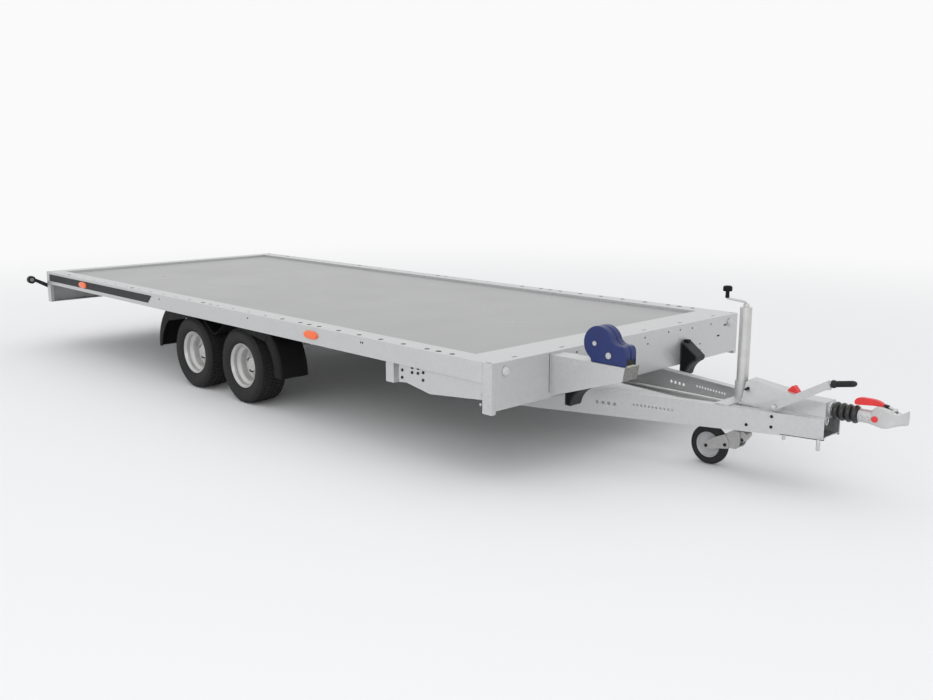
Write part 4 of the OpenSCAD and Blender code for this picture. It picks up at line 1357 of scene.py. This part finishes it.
@dataclass
class RoadWheel:
    """One road wheel: tyre with tread, pressed rim, hub and bolts."""

    corner: str
    centre: Place
    side: Side
    tyre_r: float = 234
    blocks: int = 60
    block_h: float = 7
    bolt_ring: float = 57
    bolt_count: int = 5
    tread_rows: tuple[tuple[float, float, float, float], ...] = (
        (0, 24, 0.0, 0.0), (-34, 30, 0.5, 0.22), (34, 30, 0.5, -0.22), (-68, 26, 0.0, 0.1),
        (68, 26, 0.0, -0.1))

    @property
    def body(self) -> str:
        """The body that the wheel rides on."""
        return "wheel_" + self.corner

    def turned(self, name: str, profile: Outline, finish: Finish, *nodes: str, closed: bool = True) -> Piece:
        """Turns a profile about the wheel's axis.

        Args:
            name: The piece's name.
            profile: Pairs of radius and distance outwards from the wheel's middle.
            finish: Its finish.
            nodes: Names of the solids that it stands for.
            closed: Whether the profile's ends meet.

        Returns:
            The piece.
        """
        shape = [(r, h * self.side.value) for r, h in profile]
        return rolled(f"{name}_{self.corner}", lathe(shape, at(*self.centre), Axis.Y, 72, closed), finish,
                      *nodes, body=self.body)

    def build(self) -> None:
        """Builds and dresses the wheel."""
        self.tyre()
        self.tread()
        self.rim()
        self.hub()

    def tyre(self) -> None:
        """Turns the tyre's carcass."""
        outer = [(128, 66), (137, 71), (147, 80), (157, 88), (160, 90.5), (162, 90), (176, 96), (190, 97.4),
                 (203, 95.5), (205, 97), (208, 96), (217, 90), (224, 82), (227, 76), (227.5, 60), (227.5, 40),
                 (227.5, 20), (227.5, 0)]
        self.turned("tyre", outer + [(r, -w) for r, w in reversed(outer[:-1])], TYRE, "tyre_" + self.corner)

    def tread(self) -> None:
        """Sets the tread blocks in five rings, the outer two a little lower."""
        x, y, z = self.centre
        bm = bmesh.new()
        for shift, width, phase, skew in self.tread_rows:
            crown = self.tyre_r - 4.2 - (abs(shift) > 60) * 2.2
            length = 2 * math.pi * crown / self.blocks * 0.8
            row = RINGS.grown("tread_row", bpy.data.meshes.new("tread_row"), TYRE, Count=self.blocks,
                              Radius=crown * MM, Size=(self.block_h * MM, length * MM, width * MM),
                              Centre=at(x, y + shift, z), Phase=phase * 2 * math.pi / self.blocks, Skew=skew)
            bm.from_mesh(row.data)
            bpy.data.objects.remove(row)
        settled(made("tread_" + self.corner, bm, TYRE), self.body, TYRE)

    def rim(self) -> None:
        """Turns the rim, with rolled lip, stepped barrel and dished disc, and sets its bolts and valve."""
        outside = [(138, 72), (139, 77), (137.5, 80), (134.5, 80), (132, 76), (125, 72), (121.5, 66),
                   (121, 46), (117, 42), (104, 36), (100, 30), (99, 2), (97, -9), (91, -14), (82, -14.5),
                   (76, -10), (66, -8), (58, -9), (50, -13), (42, -16)]
        inside = [(42, -24), (92, -24), (99, -28), (99, -30), (115, -44), (121, -46), (121, -74),
                  (136, -76), (142, -80), (144, -78), (143, -74), (127, -70), (127, -42), (105, -18),
                  (105, 30), (127, 42), (127, 69)]
        self.turned("rim", outside + inside, RIM, "rim_" + self.corner)
        x, y, z = self.centre
        out = self.side.value
        ring = [(self.bolt_ring * math.cos(a), self.bolt_ring * math.sin(a)) for a in
                (2 * math.pi * i / self.bolt_count + 0.3 for i in range(self.bolt_count))]
        heads = [((x + dx, y - out * 11, z + dz), (0, out, 0)) for dx, dz in ring]
        bolts("wheel_bolts_" + self.corner, CHARCOAL, heads, 11, 12, 14, 4, self.body)
        valve = [(0, 20), (3, 20), (3, 8), (4.5, 6), (4.5, 0), (0, 0)]
        rolled("valve_" + self.corner, lathe(valve, at(x + 108, y + out * 38, z), Axis.Y, 16, False), BLACK,
               body=self.body)

    def hub(self) -> None:
        """Dresses the brake drum and turns the grease cap."""
        dressed("drum_" + self.corner, ZINC, body=self.body)
        cap = rounded([(38, -16), (38, -8), (30, -6), (29, 12), (22, 19), (0, 21)], 4, 4, False)
        self.turned("grease_cap", cap, RIM, closed=False)


@dataclass
class Mudguard:
    """A moulded mudguard over both wheels of a side."""

    side: Side
    reach: float = 446
    end_r: float = 330
    end_steps: int = 18
    roof: float = 496
    low: float = 222
    wheel_z: float = 234
    axles: tuple[float, float] = (-2188, -2774)
    dip: float = 96
    dip_half: float = 150
    dip_flat: float = 20
    inner_y: float = 831
    outer_y: float = 1015
    lip_low: float = 42
    lip_high: float = 82
    lip_front: float = 72
    shoulder: float = 12
    shoulder_steps: int = 6
    crease: float = 2
    wall: float = 3.6

    def outline(self) -> list[tuple[Vector, float, float]]:
        """Draws the guard's outline in (x, z) from its rear to its front end.

        Returns:
            Its points, each with the depth of its lip and the size of its shoulder.
        """
        front, rear = self.axles
        middle, out, steps = (front + rear) / 2, self.reach - self.end_r, self.end_steps
        top, end = (math.asin((z - self.wheel_z) / self.end_r) for z in (self.roof, self.low))
        turns = [end + (top - end) * i / steps for i in range(steps + 1)]
        ends = [(out + self.end_r * math.cos(a), self.wheel_z + self.end_r * math.sin(a)) for a in turns]
        base = self.roof - self.dip
        notch = rounded([(middle - self.dip_half, self.roof), (middle - self.dip_flat, base),
                         (middle + self.dip_flat, base), (middle + self.dip_half, self.roof)], 18, 4, False)
        lips = [self.lip_low + (self.lip_high - self.lip_low) * i / steps for i in range(steps + 1)]
        back = [(Vector((rear - x, z)), lip, self.shoulder) for (x, z), lip in zip(ends, lips)]
        ahead = [(Vector((front + x, z)), self.lip_front, self.shoulder) for x, z in reversed(ends)]
        return back + [(Vector(p), self.crease + 1, self.crease) for p in notch] + ahead

    def build(self) -> None:
        """Sweeps the guard's section along its outline and gives it a wall."""
        points = self.outline()
        turns = [math.pi / 2 * k / self.shoulder_steps for k in range(self.shoulder_steps + 1)]
        round_off = [(1 - math.sin(a), 1 - math.cos(a)) for a in turns]
        rows = []
        for i, (p, lip, radius) in enumerate(points):
            before = (p - points[i - 1][0]) if i else (points[1][0] - p)
            after = (points[i + 1][0] - p) if i < len(points) - 1 else before
            one, two = before.normalized(), after.normalized()
            run = (one + two).normalized()
            inward = Vector((run.y, -run.x)) / max(0.5, run.dot(one))
            section = [(self.inner_y, 0.0)] + [(self.outer_y - radius * y, radius * d) for y, d in round_off]
            section.append((self.outer_y, lip))
            rows.append([at(p.x + inward.x * d, self.side.value * y, p.y + inward.y * d) for y, d in section])
        name = "mudguard_" + self.side.name.lower()
        piece = made(name + "_shell", woven(rows, False, False), BLACK)
        wall = piece.modifiers.new("wall", "SOLIDIFY")
        wall.thickness = self.wall * MM
        wall.offset = 0
        settled(smoothed(applied(piece)), TRAILER, BLACK, name)


@dataclass
class RunningGear:
    """The axles, wheels and mudguards."""

    wheel_y: float = 920
    wheel_z: float = 234
    axles: dict[str, float] = field(default_factory=lambda: {"f": -2188, "r": -2774})

    def build(self) -> None:
        """Builds the axles, the four wheels and the two mudguards."""
        for node in ("axle_front", "axle_rear"):
            dressed(node, ZINC)
        for side in Side:
            Mudguard(side).build()
            for end, x in self.axles.items():
                centre = (x, side.value * self.wheel_y, self.wheel_z)
                RoadWheel(end + side.name[0].lower(), centre, side).build()


@dataclass
class Winch:
    """The winch under its painted cover, on its console."""

    x: float = 277
    z: float = 662
    radius: float = 83
    front: float = 436
    foot: float = 573
    near_y: float = -640
    far_y: float = -555
    gap: float = 1.5
    core: float = 0.95
    studs: tuple[Place, ...] = ((260, 662, 12), (341, 615, 16))

    def build(self) -> None:
        """Builds and dresses the console and the winch."""
        dressed("winch_console", GALVANISED)
        self.cover()
        self.mouth()
        self.lip()

    def by_foot(self, low: Place, high: Place) -> Shape:
        """A block by the cover's front foot.

        Args:
            low: Distances from the front, the near side and the foot.
            high: Distances from the front, the far side and the foot.

        Returns:
            The mesh.
        """
        return block((self.front + low[0], self.near_y + low[1], self.foot + low[2]),
                     (self.front + high[0], self.far_y + high[1], self.foot + high[2]))

    def cover(self) -> None:
        """Makes the cover's two halves, a drum lobe that runs into a lower box, and the seam between them."""
        x, z, front, foot = self.x, self.z, self.front, self.foot
        lobe = arc(x, z, self.radius, range(16, 238, 6))
        base = [(x - 40, foot + 12), (x - 40, foot), (front, foot)]
        nose = [(front, foot), (front, z + 4), (x + 104, z + 4), (x + 80, z + 22)]
        outline = lobe + base + rounded(nose, 38, 8, False)[1:-1]
        low, high = ((self.near_y + self.far_y) / 2 + s * self.gap for s in SIDES)
        halves = [bevelled(made("winch_half_" + name, prism(outline, Axis.Y, start, end), WINCH), 9, 5, 40)
                  for name, start, end in (("near", self.near_y, low), ("far", high, self.far_y))]
        for piece, nodes in zip(halves, (["winch_cover"], [])):
            cut(piece, self.by_foot((-46, 9, -5), (5, -9, 31)))
            settled(smoothed(piece, 45), TRAILER, WINCH, *nodes)
        core = [(x + (px - x) * self.core, z + (pz - z) * self.core) for px, pz in outline]
        seam = made("winch_seam", prism(core, Axis.Y, low - 2, high + 2), RUBBER)
        cut(seam, self.by_foot((-60, 0, -5), (5, 0, 32)))
        settled(bevelled(seam, 0.5, 1), TRAILER, RUBBER)

    def mouth(self) -> None:
        """Fills the cover's mouth with a dark core as painted shade in the opening, and sets the studs on its
        sides.
        """
        # A dark block in the cut opening: painted shade in the mouth.
        edged("winch_mouth", self.by_foot((-45.5, 9.4, 7), (-2, -9.4, 30.6)), RUBBER, 1)
        parts = []
        for y, s in ((self.near_y, -1), (self.far_y, 1)):
            for x, z, r in self.studs:
                stud = rounded([(0, 3 * s), (r * 0.35, 3 * s), (r * 0.4, 1.6 * s), (r * 0.9, 3 * s), (r, 0),
                                (0, 0)], 1, 2, False)
                parts.append(lathe(stud, at(x, y, z), Axis.Y, 32, False))
        rolled("winch_studs", joined(parts), ZINC)

    def lip(self) -> None:
        """Adds the spangled lip at the console's end, darkened as painted shade, and the strap's edge over
        it.
        """
        face = shifted([(2, 0), (4.5, -1), (-9, -66), (-12, -66)], self.front, self.foot)
        # The lip's dark galvanised is painted shade; its spangle is real.
        edged("console_lip", prism(face, Axis.Y, self.near_y - 4, self.far_y + 18), GALVANISED_SHADED, 0.8)
        strap = shifted([(-40, 1), (-2, 1), (3, -3), (4, 2), (0, 6), (-40, 6)], self.front, self.foot)
        edged("strap_edge", prism(strap, Axis.Y, self.near_y + 14, self.far_y - 14), STRAP, 1)


@dataclass
class FrontGear:
    """What hangs on the front beam: wheel chocks and front lamps."""

    lamp_y: float = 960
    lamp_z: float = 540
    chock_y: float = 495

    def build(self) -> None:
        """Builds and dresses the chocks and front lamps."""
        self.chocks()
        self.lamps()

    def hollows(self, outline: Outline, starts: tuple[float, float], depth: float) -> Shape:
        """Draws an outline into both sides of both chocks.

        Args:
            outline: Corners in (x, z).
            starts: Where the two hollows start across a chock, from its middle.
            depth: How deep each is.

        Returns:
            One mesh of the four.
        """
        return joined(prism(outline, Axis.Y, s * self.chock_y + low, s * self.chock_y + low + depth)
                      for s in SIDES for low in starts)

    def chocks(self) -> None:
        """Moulds the wheel chocks, hollow from both sides, with black linings as painted shade in the
        hollows, and their clips.
        """
        piece = dressed("wheel_chocks", CHARCOAL, 4)
        seat = arc(152, 290, 123, (172, 160, 148, 136, 124, 114))
        cut(piece, self.hollows([(9, 312), *seat, (100, 417), (22, 475), (9, 475)], (-45, 5), 40))
        # Black linings in the hollows: painted shade.
        hollow_shade = [(11, 314), *shifted(seat, -3, -1), (96, 414), (22, 471), (11, 471)]
        edged("chock_hollows", self.hollows(hollow_shade, (-37, 3), 34), BLACK, 0.5, segments=1)
        clips = joined(block((4, s * self.chock_y - 16, 484), (34, s * self.chock_y + 16, 499))
                       for s in SIDES)
        edged("chock_clips", clips, BLACK, 3)

    def lamps(self) -> None:
        """Turns the round front lamps and their rings."""
        lens = rounded([(0, 15.5), (15, 14), (20, 9), (20, 2), (0, 2)], 3, 4, False)
        ring = rounded([(19.5, 2), (19.5, 10), (23.8, 8), (23.8, 0), (0, 0)], 1.5, 2, False)
        for name, shape, finish, nodes in (("front_lenses", lens, FROSTED, ["front_lamps"]),
                                           ("front_lamp_rings", ring, GALVANISED, [])):
            pair = joined(lathe(shape, at(0, s * self.lamp_y, self.lamp_z), Axis.X, 40, False) for s in SIDES)
            rolled(name, pair, finish, *nodes)


@dataclass
class SideLamps:
    """The amber marker lamps on the rails."""

    places: tuple[float, float] = (-1387, -4317)
    z: float = 538
    length: float = 122
    height: float = 46
    skin: float = 1050
    steps: int = 36
    fullness: float = 0.8

    def oval(self, x: float, inset: float) -> Points:
        """Draws a lamp's oval outline.

        Args:
            x: The lamp's place along the rail.
            inset: How far the outline is drawn in.

        Returns:
            Its points in (x, z).
        """
        half, rise = self.length / 2 - inset, self.height / 2 - inset
        ways = [(math.cos(a), math.sin(a)) for a in (2 * math.pi * k / self.steps for k in range(self.steps))]
        return [(x + half * math.copysign(abs(c) ** self.fullness, c),
                 self.z + rise * math.copysign(abs(s) ** self.fullness, s)) for c, s in ways]

    def build(self) -> None:
        """Builds the lamps' bases and lenses."""
        skins = [(x, s) for x in self.places for s in SIDES]
        bases = joined(prism(self.oval(x, 5), Axis.Y, s * self.skin, s * (self.skin + 4)) for x, s in skins)
        edged("marker_bases", bases, BLACK, 1)
        rings = ((0, 1), (0, 6), (3, 10), (9, 12))
        lenses = joined(loft([[at(px, s * (self.skin + h), pz) for px, pz in self.oval(x, inset)]
                              for inset, h in rings]) for x, s in skins)
        rolled("marker_lenses_amber", lenses, AMBER, "side_markers")


@dataclass
class RearGear:
    """The tail lamps, marker arms, reflectors and blank number plate."""

    rear: float = -5000
    lamp_inner: float = 690
    lamp_outer: float = 930
    lamp_low: float = 385
    lamp_high: float = 515
    lamp_t: float = 45
    plate_half: float = 260
    plate_low: float = 380
    plate_high: float = 500
    plate_rim: float = 7
    bezel_r: float = 25
    lens_r: float = 16
    reflector_y: float = 560

    def build(self) -> None:
        """Builds and dresses the rear."""
        self.lamps()
        self.plate()
        self.arms()
        self.reflectors()

    def lamps(self) -> None:
        """Makes each tail lamp: a black case with three lenses."""
        back = self.rear - self.lamp_t
        cases = joined(block((back + 14, s * self.lamp_inner, self.lamp_low),
                             (self.rear, s * self.lamp_outer, self.lamp_high)) for s in SIDES)
        edged("tail_lamp_cases", cases, BLACK, 6, "tail_lamps", segments=3)
        third = (self.lamp_outer - self.lamp_inner - 16) / 3
        for i, (name, finish) in enumerate((("inner", CLEAR), ("middle", RED_LENS), ("outer", AMBER))):
            start = self.lamp_inner + 8 + i * third
            pair = joined(block((back, s * (start + 1), self.lamp_low + 9),
                                (back + 20, s * (start + third - 1), self.lamp_high - 9)) for s in SIDES)
            edged("tail_lens_" + name, pair, finish, 5, segments=4)

    def plate(self) -> None:
        """Makes the blank number plate in its holder."""
        half, low, high = self.plate_half, self.plate_low, self.plate_high
        edged("plate_holder", block((self.rear - 8, -half, low), (self.rear, half, high)), BLACK, 3)
        y, z0, z1 = half - self.plate_rim, low + self.plate_rim, high - self.plate_rim
        face = rounded([(-y, z0), (y, z0), (y, z1), (-y, z1)], 10)
        edged("plate_blank", prism(face, Axis.X, self.rear - 11.5, self.rear - 7), PLATE, 0.8, "number_plate")
        screws = [((self.rear - 11.5, s * 200, (low + high) / 2), BEHIND) for s in SIDES]
        bolts("plate_screws", ZINC, screws, 5, 0.3, 6, 0.2)

    def arms(self) -> None:
        """Dresses the rubber marker arms and sets their lenses in black bezels."""
        dressed("marker_arms", RUBBER, 3, 3)
        low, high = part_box("marker_lenses")
        y, z = high.y / MM - self.bezel_r, (low.z + high.z) / 2 / MM
        front, back = (high.x - BED_FRONT) / MM, (low.x - BED_FRONT) / MM
        lens, rim = self.lens_r, self.bezel_r
        dome = rounded([(0, 0), (11, -1), (lens, -4), (lens, -7), (0, -7)], 2, 4, False)
        bezel = rounded([(lens + 0.2, -7), (lens + 0.2, -2), (rim - 3, -2), (rim, -5), (rim, -7)], 1, 3)
        for name, finish, x, way, nodes in (("clear", SMOKED, front, 1, ["marker_lenses"]),
                                            ("red", RED_LENS, back, -1, [])):
            for kind, shape, closed, look, stands in (("arm_lens_", dome, False, finish, nodes),
                                                      ("arm_bezel_", bezel, True, RUBBER, [])):
                turned = [(r, h * way) for r, h in shape]
                pair = joined(lathe(turned, at(x, s * y, z), Axis.X, 36, closed) for s in SIDES)
                rolled(kind + name, pair, look, *stands)

    def reflectors(self) -> None:
        """Sets the red triangle reflectors."""
        triangle = [(-75, 385), (75, 385), (0, 512)]
        pair = joined(prism(rounded(shifted(triangle, s * self.reflector_y, 0), 10), Axis.X, self.rear - 8,
                            self.rear) for s in SIDES)
        edged("triangle_reflectors", pair, RED_LENS, 2)


# Studio


def grey(tone: float) -> tuple[float, ...]:
    """An opaque grey."""
    return (tone,) * 3 + (1,)


@dataclass
class Studio:
    """The camera, the pale floor and the soft light. Its places are in the frame's metres."""

    eye: Place = (4.862, -4.198, 1.523)
    heading: float = 135.70
    pitch: float = 11.235
    focal_px: float = 995
    width_px: float = 933
    sensor: float = 36
    floor_tone: float = 0.865
    back_tone: float = 0.955
    floor_r: float = 60
    fade: tuple[float, float] = (3.0, 11.0)
    sky: tuple[float, float] = (0.58, 0.99)
    sky_tone: tuple[float, ...] = (0.97, 0.98, 1.0, 1)
    sky_axis: Place = (-0.62, 0.10, 0.78)
    aim: Place = (0, 0, 0.4)
    lamps: tuple[tuple[str, Place, float, float], ...] = (
        ("key", (1.0, -5.0, 7.0), 9.0, 60), ("top", (-1.5, 1.0, 8.0), 12.0, 60),
        ("fill", (8.0, -7.5, 4.0), 4.0, 150))

    def build(self) -> None:
        """Builds the studio."""
        self.camera()
        self.floor()
        self.world()
        self.lights()
        bpy.context.scene.view_settings.view_transform = "Standard"

    def camera(self) -> None:
        """Sets the camera at the photograph's view."""
        data = bpy.data.cameras.new("camera")
        data.sensor_width = self.sensor
        data.sensor_fit = "HORIZONTAL"
        data.lens = self.sensor * self.focal_px / self.width_px
        data.clip_end = 500
        turn, drop = math.radians(self.heading), math.radians(self.pitch)
        look = Vector((math.cos(turn) * math.cos(drop), math.sin(turn) * math.cos(drop), -math.sin(drop)))
        camera = linked("camera", data)
        camera.location = self.eye
        camera.rotation_euler = look.to_track_quat("-Z", "Y").to_euler()
        bpy.context.scene.camera = camera

    def flat_share(self, graph: Graph) -> Socket:
        """Finds the share of a ray that sees the flat background: camera, mirror and glass rays.

        Args:
            graph: The node tree that needs it.

        Returns:
            The share's socket.
        """
        path = graph.add("ShaderNodeLightPath", {}).outputs
        some = graph.maths("MAXIMUM", path["Is Camera Ray"], path["Is Glossy Ray"])
        return graph.maths("MAXIMUM", some, path["Is Transmission Ray"])

    def floor(self) -> None:
        """Lays a wide round floor that fades into the background."""
        bm = bmesh.new()
        bmesh.ops.create_circle(bm, cap_ends=True, segments=128, radius=self.floor_r)
        mesh = bpy.data.meshes.new("floor")
        bm.to_mesh(mesh)
        bm.free()
        shader = Shader("floor_pale")
        shader.set(Base_Color=grey(self.floor_tone), Roughness=0.9, Specular_IOR_Level=0.1)
        reach = shader.add("ShaderNodeVectorMath", {0: shader.place}, operation="LENGTH").outputs["Value"]
        near, far = self.fade
        faded = shader.first("ShaderNodeMapRange", {"Value": reach, "From Min": near, "From Max": far},
                             interpolation_type="SMOOTHSTEP")
        share = shader.maths("MULTIPLY", faded, self.flat_share(shader))
        glow = shader.first("ShaderNodeEmission", {"Color": grey(self.back_tone), "Strength": 1.0})
        mix = shader.first("ShaderNodeMixShader", {0: share, 1: shader.surface.outputs[0], 2: glow})
        end = next(n for n in shader.tree.nodes if n.type == "OUTPUT_MATERIAL")
        shader.put(end.inputs["Surface"], mix)
        mesh.materials.append(shader.material)
        linked("floor", mesh)

    def world(self) -> None:
        """Makes a soft white sky, seen as the flat background."""
        world = bpy.data.worlds.new("studio")
        world.use_nodes = True
        bpy.context.scene.world = world
        graph = Graph(world.node_tree)
        graph.tree.nodes.clear()
        way = graph.add("ShaderNodeTexCoord", {}).outputs["Generated"]
        slope = graph.add("ShaderNodeVectorMath", {0: way, 1: Vector(self.sky_axis).normalized()},
                          operation="DOT_PRODUCT").outputs["Value"]
        low, high = self.sky
        level = graph.first("ShaderNodeMapRange", {"Value": slope, "From Min": -1.0, "From Max": 1.0,
                                                   "To Min": low, "To Max": high})
        sky = graph.first("ShaderNodeBackground", {"Color": self.sky_tone, "Strength": level})
        flat = graph.first("ShaderNodeBackground", {"Color": grey(self.back_tone)})
        mix = graph.first("ShaderNodeMixShader", {0: self.flat_share(graph), 1: sky, 2: flat})
        graph.add("ShaderNodeOutputWorld", {"Surface": mix})

    def lights(self) -> None:
        """Hangs large soft lamps."""
        for name, place, size, power in self.lamps:
            data = bpy.data.lights.new(name, "AREA")
            data.shape = "SQUARE"
            data.size = size
            data.energy = power
            lamp = linked(name, data)
            lamp.location = place
            lamp.rotation_euler = (Vector(self.aim) - Vector(place)).to_track_quat("-Z", "Y").to_euler()


def main() -> None:
    """Builds the studio and every sub-assembly in order."""
    logging.basicConfig(level=logging.INFO, format="%(name)s: %(message)s")
    for assembly in (Studio(), Bed(), Drawbar(), OverrunCoupling(), Handbrake(), JockeyWheel(), RunningGear(),
                     Winch(), FrontGear(), SideLamps(), RearGear()):
        LOG.info("building %s", type(assembly).__name__)
        assembly.build()


if __name__ == "__main__":
    main()
